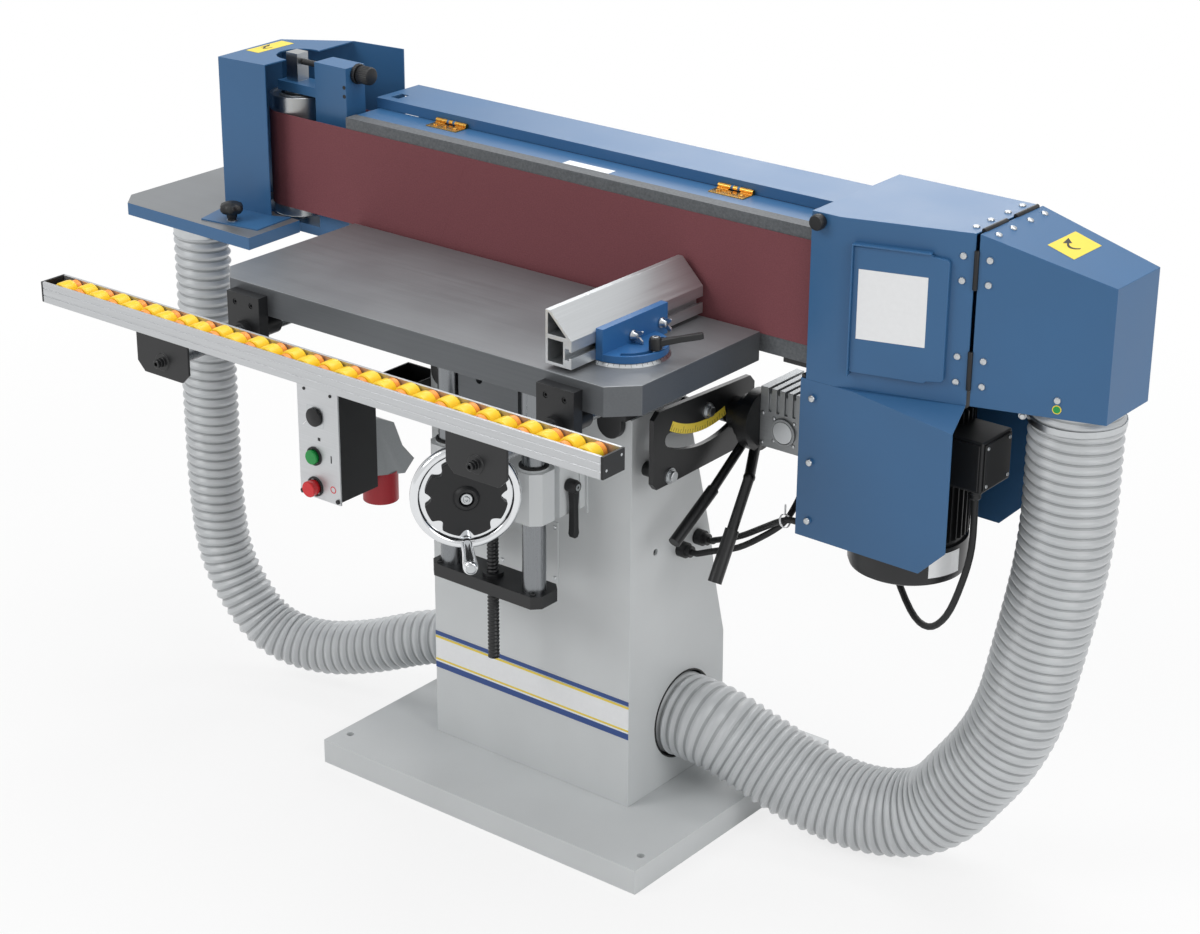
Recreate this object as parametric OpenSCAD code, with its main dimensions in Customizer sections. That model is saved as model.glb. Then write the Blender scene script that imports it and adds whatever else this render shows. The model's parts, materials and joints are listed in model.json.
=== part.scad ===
// Edge sander on a column: belt head that tilts, table that lifts, roller rail, mitre fence
// +X runs along the belt to the drive end, +Y to the back, +Z up, floor at Z = 0

/* [Base and column] */
// Width of the base plate
base_w = 620; // [560:5:700]
// Depth of the base plate
base_d = 500; // [460:5:600]
// Thickness of the base plate
base_h = 40; // [20:1:40]
// Floor bolt hole, from the side edge of the base
floor_in_x = 20; // [15:1:40]
// Floor bolt hole, from the front and back edge of the base
floor_in_y = 39; // [25:1:60]
// Diameter of a floor bolt hole
floor_hole_d = 12; // [8:0.5:18]
// Width of the column
column_w = 382; // [380:1:384]
// Thickness of the column sheet
column_wall = 5; // [3:0.5:8]
// Height of the column top above the floor
column_top = 668; // [660:1:672]
// Y of the column front
column_front = -114.5; // [-116:0.5:-113]
// Height of both hose centres where they enter the column
duct_z = 145; // [140:1:150]

/* [Lift] */
// Diameter of a guide post
post_d = 35; // [30:0.5:38]
// Distance between the two guide posts
post_gap = 158; // [150:1:164]
// Y of the posts and of the lift screw
post_y = -197.5; // [-199:0.5:-196]
// Bottom of the guide block
block_z = 514; // [510:1:518]
// Height of the guide block
block_h = 80; // [78:1:84]
// Half side of the square boss round a post
boss_half = 27; // [25:0.5:28]
// Diameter of the lift screw
screw_d = 18; // [14:0.5:20]
// Lowest point of the lift screw
screw_tip = 266; // [250:1:300]
// Thickness of the bottom bar
bar_t = 20; // [14:1:24]
// Height of the bottom bar underside
bar_z = 382; // [370:1:390]

/* [Handwheel] */
// Outer diameter of the handwheel
wheel_d = 160; // [140:2:170]
// Thickness of the handwheel rim
rim_t = 18; // [12:1:22]
// Height of the handwheel shaft
shaft_z = 571; // [570:0.5:572]
// Diameter of the handwheel shaft
shaft_d = 16; // [12:0.5:18]
// Distance between the handwheel shaft and the lift screw axis
shaft_off = 44; // [43:0.5:46]
// Pitch radius of the pinion on the handwheel shaft
pinion_r = 14.67; // [13:0.01:16]
// Length of the revolving grip
grip_len = 80; // [40:1:84]
// Diameter of the revolving grip
grip_d = 22; // [16:1:26]

/* [Table] */
// Left edge of the table
table_x0 = -408; // [-430:1:-380]
// Right edge of the table
table_x1 = 355; // [330:1:370]
// Depth of the table
table_d = 302; // [290:1:310]
// Y of the table edge next to the belt
table_back = -41.5; // [-44:0.5:-40]
// Height of the table top at its lowest setting
table_z = 820; // [816:1:826]
// Thickness of the table
table_t = 43; // [36:1:46]
// Corner chamfer at the front of the table
table_cut = 36; // [20:1:45]

/* [Roller rail] */
// Length of the rail profile between its end caps
rail_len = 1028; // [900:1:1100]
// Left end of the rail profile
rail_x0 = -571; // [-580:1:-560]
// Y of the rail front
rail_front = -523.5; // [-526:0.5:-522]
// Depth of the rail
rail_d = 44; // [40:1:48]
// Height of the rail
rail_h = 31; // [30:0.5:34]
// Wall of the rail
rail_wall = 4; // [3:0.5:5]
// Roller diameter
roller_d = 31; // [26:0.5:32]
// Pitch of the rollers
roller_pitch = 34.5; // [33:0.5:40]
// Diameter of a slide rod
rod_d = 25; // [20:0.5:27]
// Length of a slide rod
rod_len = 280; // [240:5:300]

/* [Mitre fence] */
// X of the mitre pivot
mitre_x = 262; // [255:1:268]
// Y of the mitre pivot
mitre_y = -223.5; // [-228:0.5:-220]
// Radius of the mitre base
mitre_r = 62; // [60:1:66]
// Thickness of the mitre base
mitre_t = 5; // [3:0.5:6]
// Length of the fence
fence_len = 291; // [240:1:300]
// Width of the fence foot
fence_w = 44; // [42:0.5:46]
// Height of the fence
fence_h = 75.7; // [72:0.1:80]

/* [Tilting head] */
// Y of the tilt axis
tilt_y = 4.5; // [3.5:0.5:5.5]
// Height of the tilt axis
tilt_z = 806; // [804:0.5:808]
// Diameter of the tilt shaft
tilt_d = 24; // [20:0.5:26]
// Half length of the platen
platen_half = 430; // [420:1:430]
// Bottom of the platen
platen_z = 787; // [786:0.5:788]
// Height of the platen
platen_h = 193; // [190:1:200]
// Thickness of the platen
platen_t = 7.5; // [5:0.5:8]
// Thickness of the head beam plates
beam_t = 8; // [5:0.5:9]

/* [Belt and drums] */
// Y of the abrasive face of the belt
belt_y = -33.5; // [-34:0.5:-33]
// Thickness of the belt
belt_t = 1.2; // [0.8:0.1:1.4]
// Width of the belt
belt_w = 150; // [140:1:155]
// Lower edge of the belt
belt_z = 814; // [812:1:820]
// Radius of the idle drum
idle_r = 45; // [42:0.5:46]
// Radius of the drive drum
drive_r = 65; // [60:0.5:68]
// Lower face of the drums
drum_z = 797; // [796:0.5:800]
// Length of the drums
drum_h = 192; // [186:1:194]

/* [Drive end] */
// Bottom of the drive and end covers
cover_z = 770; // [766:1:772]
// Height of the drive cover
cover_h = 240; // [236:1:250]
// Thickness of the cover sheet
sheet_t = 2; // [1.5:0.1:2.5]
// Right end of the end cover
cover_x1 = 836; // [836:1:860]
// Top height of the end cover at its right end
cover_low = 959; // [940:1:980]
// Motor body diameter
motor_d = 170; // [150:1:176]
// Bottom of the motor
motor_z0 = 485; // [470:1:500]
// Length of the terminal box on the motor
term_h = 77; // [60:1:84]

/* [Tilt quadrant] */
// Radius of the quadrant slot about the tilt axis
slot_r = 187; // [186:0.5:188]
// Width of the quadrant slot
slot_w = 22.4; // [21:0.1:24]
// Thickness of the quadrant plate
quad_t = 8; // [6:0.5:10]
// Distance of the quadrant plate from the column side
quad_gap = 35; // [32:0.5:36]
// Diameter of the lock stud
stud_d = 20; // [16:0.5:20]
// Angle of the lock stud from straight down at rest
stud_a = 22.5; // [22:0.5:23]

/* [Dust hoses] */
// Outer diameter of the left hose
hose_l_d = 90; // [84:1:92]
// Outer diameter of the right hose
hose_r_d = 132; // [126:1:132]
// Rib pitch of the left hose
rib_l = 15.6; // [14:0.1:20]
// Rib pitch of the right hose
rib_r = 15; // [14:0.1:20]

// Outer diameter of the dust outlet at the back
outlet_d = 100; // [80:1:110]

/* [Idle end] */
// Thickness of the side table
side_t = 20; // [16:1:20]
// Top of the side table
side_z = 804; // [803:0.5:806]
// Top of the idle cover
idle_top = 1047; // [1042:1:1060]
// Thickness of the idle bracket arms
arm_t = 15; // [12:0.5:16]

/* [Control box] */
// Left side of the control panel
box_x0 = -355; // [-360:1:-350]
// Width of the control panel
box_w = 84; // [80:1:90]
// Bottom of the control panel
box_z0 = 447; // [440:1:455]
// Height of the control panel
box_h = 193; // [180:1:200]
// Depth of the black box
box_d = 83; // [70:1:90]

/* [Clearances] */
// Radial clearance of a shaft that turns or slides
run_c = 0.05; // [0.02:0.01:0.09]
// Side clearance between pieces that move past each other
side_c = 0.3; // [0.2:0.05:0.5]

/* [Hidden] */
$fn = 64;

steel = "#b9bcc0";
black = "#1d1e20";
grey = "#c4c7c9";
iron = "#54575b";
blue = "#3a659a";

column_side = column_w / 2;
post_r = post_d / 2;
post_x = post_gap / 2;
block_top = block_z + block_h;
screw_r = screw_d / 2;
shaft_r = shaft_d / 2;
wheel_s = 94.3;
foot = [-shaft_off * sqrt(0.5), post_y - shaft_off * sqrt(0.5)];
screw_gear_r = shaft_off - pinion_r;
grip_at = wheel_d / 2 - 7;
table_low = table_z - table_t;
table_front = table_back - table_d;
rail_top = table_z - 3;
rail_z = rail_top - rail_h;
rod_r = rod_d / 2;
rod_x = [252, -328];
rod_z = rail_z - 35;
hanger_y = rail_front + 3;
hanger_t = 4;
mitre_z = table_z + mitre_t;
fence_x1 = mitre_x - 5;
fence_x0 = fence_x1 - fence_w;
fence_z = mitre_z + side_c;
fence_back = table_back - 1;
bolt_z = fence_z + 19.7;
tilt_r = tilt_d / 2;
lug_t = 10;
trunnion_t = 20;
trunnion_x = column_side - 41;
belt_in = belt_y + belt_t;
platen_y = belt_in + side_c;
platen_back = platen_y + platen_t;
platen_top = platen_z + platen_h;
beam_back = 44.5;
idle_reach = 143;
idle_x = -platen_half - idle_reach;
idle_y = belt_in + side_c + idle_r;
drive_x = 544;
drive_y = 66.5;
cover_top = cover_z + cover_h;
cover_front = -43.5;
cover_back = 171.5;
cover_x0 = 434;
bend_x = 480;
seam_x = 655;
seam_gap = 5;
slant = 0.3;
motor_plate_t = 12;
motor_plate_z = platen_z - motor_plate_t;
motor_r = motor_d / 2;
frame_x = 426;
frame_t = 6;
lower_z = 536;
quad_x = column_side + quad_gap;
stud_r = stud_d / 2;
stud_y = tilt_y + slot_r * sin(stud_a);
stud_z = tilt_z - slot_r * cos(stud_a);
boss_x = quad_x + quad_t + side_c;
boss_len = 18;
hub_x = boss_x + boss_len + side_c;
hub_len = 14;
disc_x = hub_x + hub_len + side_c;
disc_len = 18;
gear_x = disc_x + disc_len;
gear_z = 598;
side_low = side_z - side_t;
arm_z = side_low - arm_t;
post_top = 1050;
screw_z = 1038;
guard_top = platen_top + 16;
hinge_y = beam_back - 3.8;
hinge_z = platen_top + 4.5;
panel_y = -233.5;
hose_l_r = hose_l_d / 2;
hose_r_r = hose_r_d / 2;
duct_half = 60;
outlet_r = outlet_d / 2;
left_x = idle_x - 107;
left_y = -108.5;
right_x = 768;
right_y = 112;
collar_drop = 18;

column_side_pts = [[column_front, base_h], [124.5, base_h], [124.5, 138], [122.5, 247], [97.5, 342],
    [83.5, 419], [31.5, 606], [13.5, column_top], [column_front, column_top]];

// ---- helpers ----
function unit(v) = v / norm(v);
// Insets a counter-clockwise outline by d
function inset(p, d) = [for (i = [0:len(p) - 1])
    let (a = p[(i + len(p) - 1) % len(p)], b = p[i], c = p[(i + 1) % len(p)],
         u = unit(b - a), w = unit(c - b), n = [-u[1], u[0]], m = [-w[1], w[0]])
    b + d * (n + m) / (1 + n * m)];
// Outline of a bent sheet of thickness t on the left of the way p
function left_of(a, b) = let (u = unit(b - a)) [-u[1], u[0]];
function ribbon(p, t) = let (m = len(p) - 1) concat(p, [for (i = [m:-1:0])
    i == m ? p[m] + t * left_of(p[m - 1], p[m]) : i == 0 ? p[0] + t * left_of(p[0], p[1])
    : let (n = left_of(p[i - 1], p[i]), k = left_of(p[i], p[i + 1])) p[i] + t * (n + k) / (1 + n * k)]);
function chamfered(cx, cy, hx, hy, c) = [[cx - hx + c, cy - hy], [cx + hx - c, cy - hy],
    [cx + hx, cy - hy + c], [cx + hx, cy + hy - c], [cx + hx - c, cy + hy], [cx - hx + c, cy + hy],
    [cx - hx, cy + hy - c], [cx - hx, cy - hy + c]];

module yz(x0, w) translate([x0, 0, 0]) rotate([90, 0, 90]) linear_extrude(w) children();
module xz(y0, d) translate([0, y0 + d, 0]) rotate([90, 0, 0]) linear_extrude(d) children();
module xy(z0, h) translate([0, 0, z0]) linear_extrude(h) children();
module xcyl(x0, l, r, y, z) translate([x0, y, z]) rotate([0, 90, 0]) cylinder(h = l, r = r);
module ycyl(y0, l, r, x, z) translate([x, y0, z]) rotate([-90, 0, 0]) cylinder(h = l, r = r);
module zcyl(z0, l, r, x, y) translate([x, y, z0]) cylinder(h = l, r = r);
module box(x0, x1, y0, y1, z0, z1) translate([x0, y0, z0]) cube([x1 - x0, y1 - y0, z1 - z0]);
// Round bar from p to q
module bar(p, q, r) {
    d = q - p;
    translate(p) rotate([0, acos(d[2] / norm(d)), atan2(d[1], d[0])]) cylinder(h = norm(d), r = r);
}
// Upright sheet from p to q in plan, its thickness t to the left of the way
module sheet(p, q, t, z0, z1) {
    d = q - p;
    translate([p[0], p[1], z0]) rotate([0, 0, atan2(d[1], d[0])]) cube([norm(d), t, z1 - z0]);
}
// Frame of the handwheel shaft: local X runs out along the shaft from its nearest point to the screw
module along_shaft() translate([foot[0], foot[1], shaft_z]) rotate([0, 0, -45]) children();

// ---- swept tubes ----
// Points of a path whose corners are rounded with radius-like length c, s steps each
function corner(a, b, c, l, s) = let (p = b + unit(a - b) * l, q = b + unit(c - b) * l)
    [for (i = [0:s]) let (t = i / s) (1 - t) * (1 - t) * p + 2 * t * (1 - t) * b + t * t * q];
// Half of each leg is bent, but the end legs keep the straight length e
function leg(p, i, j, e) = let (d = norm(p[j] - p[i])) min(i, j) == 0 || max(i, j) == len(p) - 1
    ? d - e : d / 2;
function rounded(p, e, s) = concat([p[0]], [for (i = [1:len(p) - 2])
    each corner(p[i - 1], p[i], p[i + 1], min(leg(p, i - 1, i, e), leg(p, i, i + 1, e)), s)], [p[len(p) - 1]]);
function tangent(p, i) = i == 0 ? unit(p[1] - p[0])
    : i == len(p) - 1 ? unit(p[i] - p[i - 1])
    : unit(unit(p[i] - p[i - 1]) + unit(p[i + 1] - p[i]));
// Each ring's side vector is the last one made square to the new tangent
function sides(p, u0) = [for (i = 0, u = u0; i < len(p); i = i + 1,
    u = i < len(p) ? let (t = tangent(p, i)) unit(u - (u * t) * t) : u) u];
function ring(c, t, u, r, n) = let (v = cross(t, u))
    [for (k = [0:n - 1]) c + r * (cos(360 * (k + 0.5) / n) * u + sin(360 * (k + 0.5) / n) * v)];
module tube(path, r, n, u0) {
    u = sides(path, u0);
    m = len(path);
    pts = [for (i = [0:m - 1]) each ring(path[i], tangent(path, i), u[i], r, n)];
    skin = [for (i = [0:m - 2]) for (k = [0:n - 1]) let (j = (k + 1) % n)
        each [[i * n + k, (i + 1) * n + k, (i + 1) * n + j], [i * n + k, (i + 1) * n + j, i * n + j]]];
    polyhedron(points = pts, faces = concat(skin, [[for (k = [0:n - 1]) k]],
        [[for (k = [n - 1:-1:0]) (m - 1) * n + k]]));
}
function total(p, i = 0) = i >= len(p) - 1 ? 0 : norm(p[i + 1] - p[i]) + total(p, i + 1);
function sums(p) = [for (i = 0, s = 0; i < len(p); i = i + 1,
    s = s + (i < len(p) ? norm(p[i] - p[i - 1]) : 0)) s];
function seg(s, d, i = 0) = i >= len(s) - 2 || s[i + 1] >= d ? i : seg(s, d, i + 1);
function at(p, s, d) = let (i = seg(s, d)) p[i] + (p[i + 1] - p[i]) * ((d - s[i]) / (s[i + 1] - s[i]));
function way(p, s, d) = let (e = 2, a = at(p, s, max(0, d - e)), b = at(p, s, min(s[len(s) - 1], d + e)))
    unit(b - a);
function ups(t, u0) = [for (i = 0, u = u0; i < len(t); i = i + 1,
    u = i < len(t) ? unit(u - (u * t[i]) * t[i]) : u) u];
// Ribbed hose: crest and root rings outside, a smooth bore inside
module hose(route, r, depth, wall, pitch, u0, n = 8) {
    s = sums(route);
    full = s[len(s) - 1];
    ribs = floor(full / pitch);
    step = full / (2 * ribs);
    m = 2 * ribs + 1;
    t = [for (i = [0:m - 1]) i == 0 || i == m - 1 ? way(route, s, i * step) : way(route, s, i * step)];
    u = ups(t, u0);
    outer = [for (i = [0:m - 1]) each ring(at(route, s, i * step), t[i], u[i],
        i % 2 == 0 ? r - depth : r, n)];
    w = floor(ribs / 3);
    ids = [for (i = [0:w]) round(i * (m - 1) / w)];
    inner = [for (i = ids) each ring(at(route, s, i * step), t[i], u[i], r - depth - wall, n)];
    o = m * n;
    out_skin = [for (i = [0:m - 2]) for (k = [0:n - 1]) let (j = (k + 1) % n)
        each [[i * n + k, (i + 1) * n + k, (i + 1) * n + j], [i * n + k, (i + 1) * n + j, i * n + j]]];
    in_skin = [for (i = [0:w - 1]) for (k = [0:n - 1]) let (j = (k + 1) % n)
        each [[o + i * n + k, o + (i + 1) * n + j, o + (i + 1) * n + k],
              [o + i * n + k, o + i * n + j, o + (i + 1) * n + j]]];
    first = [for (k = [0:n - 1]) let (j = (k + 1) % n) each [[k, j, o + j], [k, o + j, o + k]]];
    e = (m - 1) * n;
    f = o + w * n;
    last = [for (k = [0:n - 1]) let (j = (k + 1) % n) each [[e + k, f + j, e + j], [e + k, f + k, f + j]]];
    echo(ribs = ribs, length = full);
    polyhedron(points = concat(outer, inner), faces = concat(out_skin, in_skin, first, last));
}

left_route = rounded([[left_x, left_y, side_low - collar_drop], [left_x, left_y, 320],
    [-668, -105, 190], [-590, -86, 82], [-500, -62, 66], [-400, -36, 90], [-310, -10, 128],
    [-228, 16.5, duct_z], [-duct_half, 16.5, duct_z]], hose_l_d, 6);
right_route = rounded([[right_x, right_y, cover_z], [right_x, right_y, 560], [742, 112, 410],
    [712, 107, 250], [600, 90, 88], [500, 71, 62], [400, 55, 78], [310, 38, 116],
    [250, 20.5, duct_z], [duct_half, 20.5, duct_z]], hose_r_d, 6);
// Leads from the motor and from the gearbox to the two glands on the column side
cable_a = [[frame_x, -28.5, 546], [408, -28.5, 546], [386, -24, 536], [340, 2, 504], [290, 22, 470],
    [column_side + 59, 34, 449],
    [column_side + 34, 44, 436], [column_side + 30, 47.4, 432], [column_side + 22, 47.4, 432]];
cable_b = [[360, 84, gear_z], [360, 84, 584], [370, 58, 556], [376, 24, 534], [372, 4, 518], [340, 2, 490],
    [290, 14, 454],
    [column_side + 59, 10, 438], [column_side + 34, 6, 428], [column_side + 30, 5.3, 427], [column_side + 22, 5.3, 427]];
lead = [[669, 26.5, 632], [669, 26.5, 560], [655, 30, 500], [626, 44, 436], [585, 66, 398],
    [540, 90, 402], [480, 130, 450], [452, 148, 520], [448, 150, 590], [444, 150, 610],
    [frame_x + frame_t, 150, 610]];

// ---- base and column ----
module base_plate() color(grey) difference() {
    box(-base_w / 2, base_w / 2, -base_d / 2, base_d / 2, 0, base_h);
    for (sx = [-1, 1], sy = [-1, 1])
        zcyl(-1, base_h + 2, floor_hole_d / 2, sx * (base_w / 2 - floor_in_x), sy * (base_d / 2 - floor_in_y));
}

module column() color(grey) difference() {
    yz(-column_side, column_w) polygon(column_side_pts);
    yz(-column_side + column_wall, column_w - 2 * column_wall) polygon(inset(column_side_pts, column_wall));
    box(-column_side + column_wall, column_side - column_wall, column_front + column_wall,
        124.5 - column_wall, base_h - 1, base_h + column_wall + 1);
    xcyl(column_side - column_wall - 1, column_wall + 2, hose_r_r + 3, 20.5, duct_z);
    xcyl(-column_side - 1, column_wall + 2, hose_l_r + 3, 16.5, duct_z);
    xcyl(column_side - column_wall - 1, column_wall + 2, 5, -54.5, 442);
    ycyl(110, 20, outlet_r + side_c, 0, duct_z);
}

// Hidden collector that the two hoses meet, with the outlet at the back
module dust_duct() color(steel) difference() {
    union() {
        box(-duct_half, duct_half, -50, 92, duct_z - 71, duct_z + 71);
        box(-50, 50, -45, -42, base_h, duct_z - 71);
        box(-50, 50, 84, 87, base_h, duct_z - 71);
        xcyl(duct_half - 1, 26, hose_r_r - 11, 20.5, duct_z);
        xcyl(-duct_half - 25, 26, hose_l_r - 8.5, 16.5, duct_z);
        ycyl(90, 74, outlet_r - 1, 0, duct_z);
        ycyl(127, 38, outlet_r, 0, duct_z);
    }
    box(-duct_half + 2, duct_half - 2, -48, 90, duct_z - 69, duct_z + 69);
    xcyl(duct_half - 3, 30, hose_r_r - 13, 20.5, duct_z);
    xcyl(-duct_half - 27, 30, hose_l_r - 10.5, 16.5, duct_z);
    ycyl(89, 78, outlet_r - 2.5, 0, duct_z);
}

// ---- lift ----
module guide_block() color(grey) difference() {
    union() {
        for (s = [-1, 1]) {
            xy(block_z, block_h) polygon(chamfered(s * post_x, post_y, boss_half, boss_half, 13.4));
            zcyl(block_top, 3, post_r + 4, s * post_x, post_y);
        }
        box(-52, 52, post_y - boss_half, -128.5, block_z, block_top);
        box(-post_x - boss_half, post_x + boss_half, post_y + boss_half - 2, -128.5, block_z, block_top);
        box(-108, 108, -129, column_front, block_z, block_top);
        box(-112, 112, column_front - 3, column_front, block_z - 10, block_top + 6);
        zcyl(shaft_z - 15, 32, screw_gear_r + 8, 0, post_y);
        along_shaft() xcyl(-16, 78, 23, 0, 0);
    }
    for (s = [-1, 1]) zcyl(block_z - 1, block_h + 6, post_r + run_c, s * post_x, post_y);
    zcyl(block_z - 1, 76, screw_r + run_c, 0, post_y);
    zcyl(shaft_z - 11, 24, screw_gear_r + 3.5, 0, post_y);
    along_shaft() {
        xcyl(-12.3, 24.6, pinion_r + 2.5, 0, 0);
        xcyl(-20.5, 90, shaft_r + run_c, 0, 0);
    }
    xcyl(80, 30, 5 + run_c, -153.5, block_z + 46);
}

module guide_posts() color(steel)
    for (s = [-1, 1]) zcyl(bar_z, table_low - 10 - bar_z, post_r, s * post_x, post_y);

module bottom_bar() color(black) difference() {
    union() {
        xy(bar_z, bar_t) polygon(chamfered(0, post_y + 3.5, post_x + 26, 29.5, 12));
        zcyl(bar_z + bar_t, 6, 16, 0, post_y);
    }
    for (s = [-1, 1]) zcyl(bar_z - 1, bar_t + 2, post_r + 0.02, s * post_x, post_y);
    zcyl(bar_z - 1, bar_t + 9, screw_r + run_c, 0, post_y);
}

module crosshead() color(iron) difference() {
    union() {
        box(-post_x - 36, post_x + 36, post_y - 36, post_y + 36, table_low - 16, table_low);
        for (s = [-1, 1]) zcyl(table_low - 40, 40, post_r + 11.5, s * post_x, post_y);
        box(-post_x + 23, post_x - 23, post_y - 7, post_y + 7, table_low - 127, table_low - 15);
    }
    for (s = [-1, 1]) zcyl(table_low - 41, 31, post_r + 0.02, s * post_x, post_y);
    ycyl(post_y - 8, 16, 6, -17, table_low - 71);
}

module lift_screw() color("#8f9296") {
    zcyl(screw_tip, block_z + 74 - screw_tip, screw_r, 0, post_y);
    zcyl(shaft_z - 9, 20, screw_gear_r - 0.2, 0, post_y);
}

// Rim section: rounded by chamfers so that it stays exact
module handwheel() color("#d5d7d9") along_shaft() {
    translate([wheel_s, 0, 0]) rotate([0, 90, 0]) rotate_extrude() polygon([[wheel_d / 2 - 14, -5],
        [wheel_d / 2 - 10, -rim_t / 2], [wheel_d / 2 - 4, -rim_t / 2], [wheel_d / 2 - 1, -5],
        [wheel_d / 2, 0], [wheel_d / 2 - 1, 5], [wheel_d / 2 - 4, rim_t / 2],
        [wheel_d / 2 - 10, rim_t / 2], [wheel_d / 2 - 14, 5]]);
    xcyl(wheel_s - 3, 6, wheel_d / 2 - 12, 0, 0);
    xcyl(wheel_s - 20, 22, 20, 0, 0);
    xcyl(-20, wheel_s, shaft_r, 0, 0);
    xcyl(-12, 24, pinion_r - 0.2, 0, 0);
    xcyl(wheel_s + 2, grip_len + 8, 4, 0, -grip_at);
}

module handwheel_hub() color(black) along_shaft() difference() {
    union() {
        xcyl(wheel_s + 3, 8, wheel_d / 2 - 20, 0, 0);
        xcyl(wheel_s + 3, 13, 17, 0, 0);
    }
    for (a = [0:45:315]) rotate([a + 22.5, 0, 0]) xcyl(wheel_s + 2, 10, 13, 0, wheel_d / 2 - 15);
    xcyl(wheel_s + 9, 10, 8, 0, 0);
}

module wheel_grip() color("#c9cbce") along_shaft() difference() {
    union() {
        xcyl(wheel_s + rim_t / 2 + side_c, grip_len, grip_d / 2 - 2, 0, -grip_at);
        xcyl(wheel_s + rim_t / 2 + 14, grip_len - 22, grip_d / 2, 0, -grip_at);
    }
    xcyl(wheel_s, grip_len + 10.5, 4 + run_c, 0, -grip_at);
}

// Indexing lever that clamps the guide post
module post_lock_lever() color(black) {
    xcyl(84, 30, 5, -153.5, block_z + 46);
    xcyl(post_x + boss_half + side_c, 18, 10, -153.5, block_z + 46);
    zcyl(block_z - 30, 70, 6.5, post_x + boss_half + 11, -153.5);
    translate([post_x + boss_half + 11, -153.5, block_z - 30]) sphere(r = 6.5);
}

// ---- table ----
module table() color(iron) difference() {
    xy(table_low, table_t) polygon([[table_x0 + table_cut, table_front], [table_x1 - table_cut, table_front],
        [table_x1, table_front + table_cut], [table_x1, table_back], [table_x0, table_back],
        [table_x0, table_front + table_cut]]);
    for (x = [table_x0 + 22, table_x0 + 155]) for (y = [table_front + 26, table_front + 158])
        box(x, x + 122, y, y + 122, table_low - 1, table_z - 14);
    for (x = [-110, 6]) for (y = [table_front + 12, table_back - 102])
        box(x, x + 104, y, y + 90, table_low - 1, table_z - 14);
    for (y = [table_front + 40, table_front + 164])
        box(126, 226, y, y + 112, table_low - 1, table_z - 14);
    for (y = [table_front + 40, table_front + 164])
        box(238, table_x1 - 18, y, y + 112, table_low - 1, table_z - 14);
}

module rail_brackets() color(black) for (x = rod_x) difference() {
    union() {
        box(x - 32, x + 32, table_front - 18, table_front, rod_z - 22, table_z - 12);
        ycyl(table_front - 28, 70, rod_r + 4.5, x, rod_z);
    }
    ycyl(table_front - 30, 80, rod_r + run_c, x, rod_z);
    ycyl(table_front - 20, 14, 4.5, x - 16, table_z - 26);
    ycyl(table_front - 20, 14, 4.5, x + 16, table_z - 26);
}

module roller_rail() color("#c8cacd") difference() {
    box(rail_x0, rail_x0 + rail_len, rail_front, rail_front + rail_d, rail_z, rail_top);
    box(rail_x0 - 1, rail_x0 + rail_len + 1, rail_front + rail_wall, rail_front + rail_d - rail_wall,
        rail_z + 2.2, rail_top + 1);
    box(rail_x0 - 1, rail_x0 + rail_len + 1, rail_front - 1, rail_front + 1, rail_z + 10, rail_z + 11.5);
}

module rail_end_caps() color(black) for (x = [rail_x0 - 4, rail_x0 + rail_len])
    box(x, x + 4, rail_front, rail_front + rail_d, rail_z, rail_top);

module rail_rollers() color("#f5c518") {
    n = floor((rail_len - roller_d) / roller_pitch) + 1;
    first = rail_x0 + (rail_len - (n - 1) * roller_pitch) / 2;
    for (i = [0:n - 1]) {
        ycyl(rail_front + rail_wall + 1, rail_d - 2 * rail_wall - 2, roller_d / 2,
            first + i * roller_pitch, table_z - roller_d / 2);
        ycyl(rail_front + rail_wall, rail_d - 2 * rail_wall, 2.5, first + i * roller_pitch,
            table_z - roller_d / 2);
    }
}

// Angle hangers with the slide rods that carry the rail
module rail_hangers() color(black) for (x = rod_x) {
    xz(hanger_y, hanger_t) polygon([[x - 52, rail_z], [x - 52, rod_z - 9], [x - 38, rod_z - 23],
        [x + 38, rod_z - 23], [x + 52, rod_z - 9], [x + 52, rail_z]]);
    box(x - 52, x + 52, hanger_y + hanger_t - 1, rail_front + rail_d - 4, rail_z - hanger_t, rail_z);
    ycyl(hanger_y + hanger_t - 1, rod_len + 1, rod_r, x, rod_z);
    ycyl(hanger_y - 2, 3, 13, x, rod_z);
    ycyl(hanger_y - 8, 7, 6.5, x, rod_z);
}

// ---- mitre fence ----
module mitre_base() color(steel) {
    difference() {
        intersection() {
            zcyl(table_z, mitre_t, mitre_r, mitre_x, mitre_y);
            box(mitre_x - 16, mitre_x + mitre_r + 1, mitre_y - mitre_r - 1, mitre_y + mitre_r + 1,
                table_z - 1, mitre_z + 1);
        }
        zcyl(table_z - 1, mitre_t + 2, 4 + run_c, mitre_x + 50, mitre_y);
    }
    zcyl(table_z + 1, mitre_t + 12, 5, mitre_x, mitre_y);
}

module mitre_head() color("#4a86c5") difference() {
    union() {
        intersection() {
            zcyl(mitre_z + side_c, 10, mitre_r - 3, mitre_x, mitre_y);
            box(fence_x1 + side_c, mitre_x + mitre_r, mitre_y - mitre_r, mitre_y + mitre_r,
                mitre_z, mitre_z + 11);
        }
        box(fence_x1 + side_c, fence_x1 + 12, mitre_y - 59, mitre_y + 84, mitre_z + side_c, mitre_z + 45);
    }
    zcyl(mitre_z - 1, 14.5, 5 + run_c, mitre_x, mitre_y);
    translate([mitre_x, mitre_y, mitre_z - 1]) rotate([0, 0, -60]) rotate_extrude(angle = 120)
        translate([45.5, 0]) square([9, 13]);
    for (y = [5, 69]) xcyl(fence_x1 - 1, 20, 4 + run_c, mitre_y + y, bolt_z);
}

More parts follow.
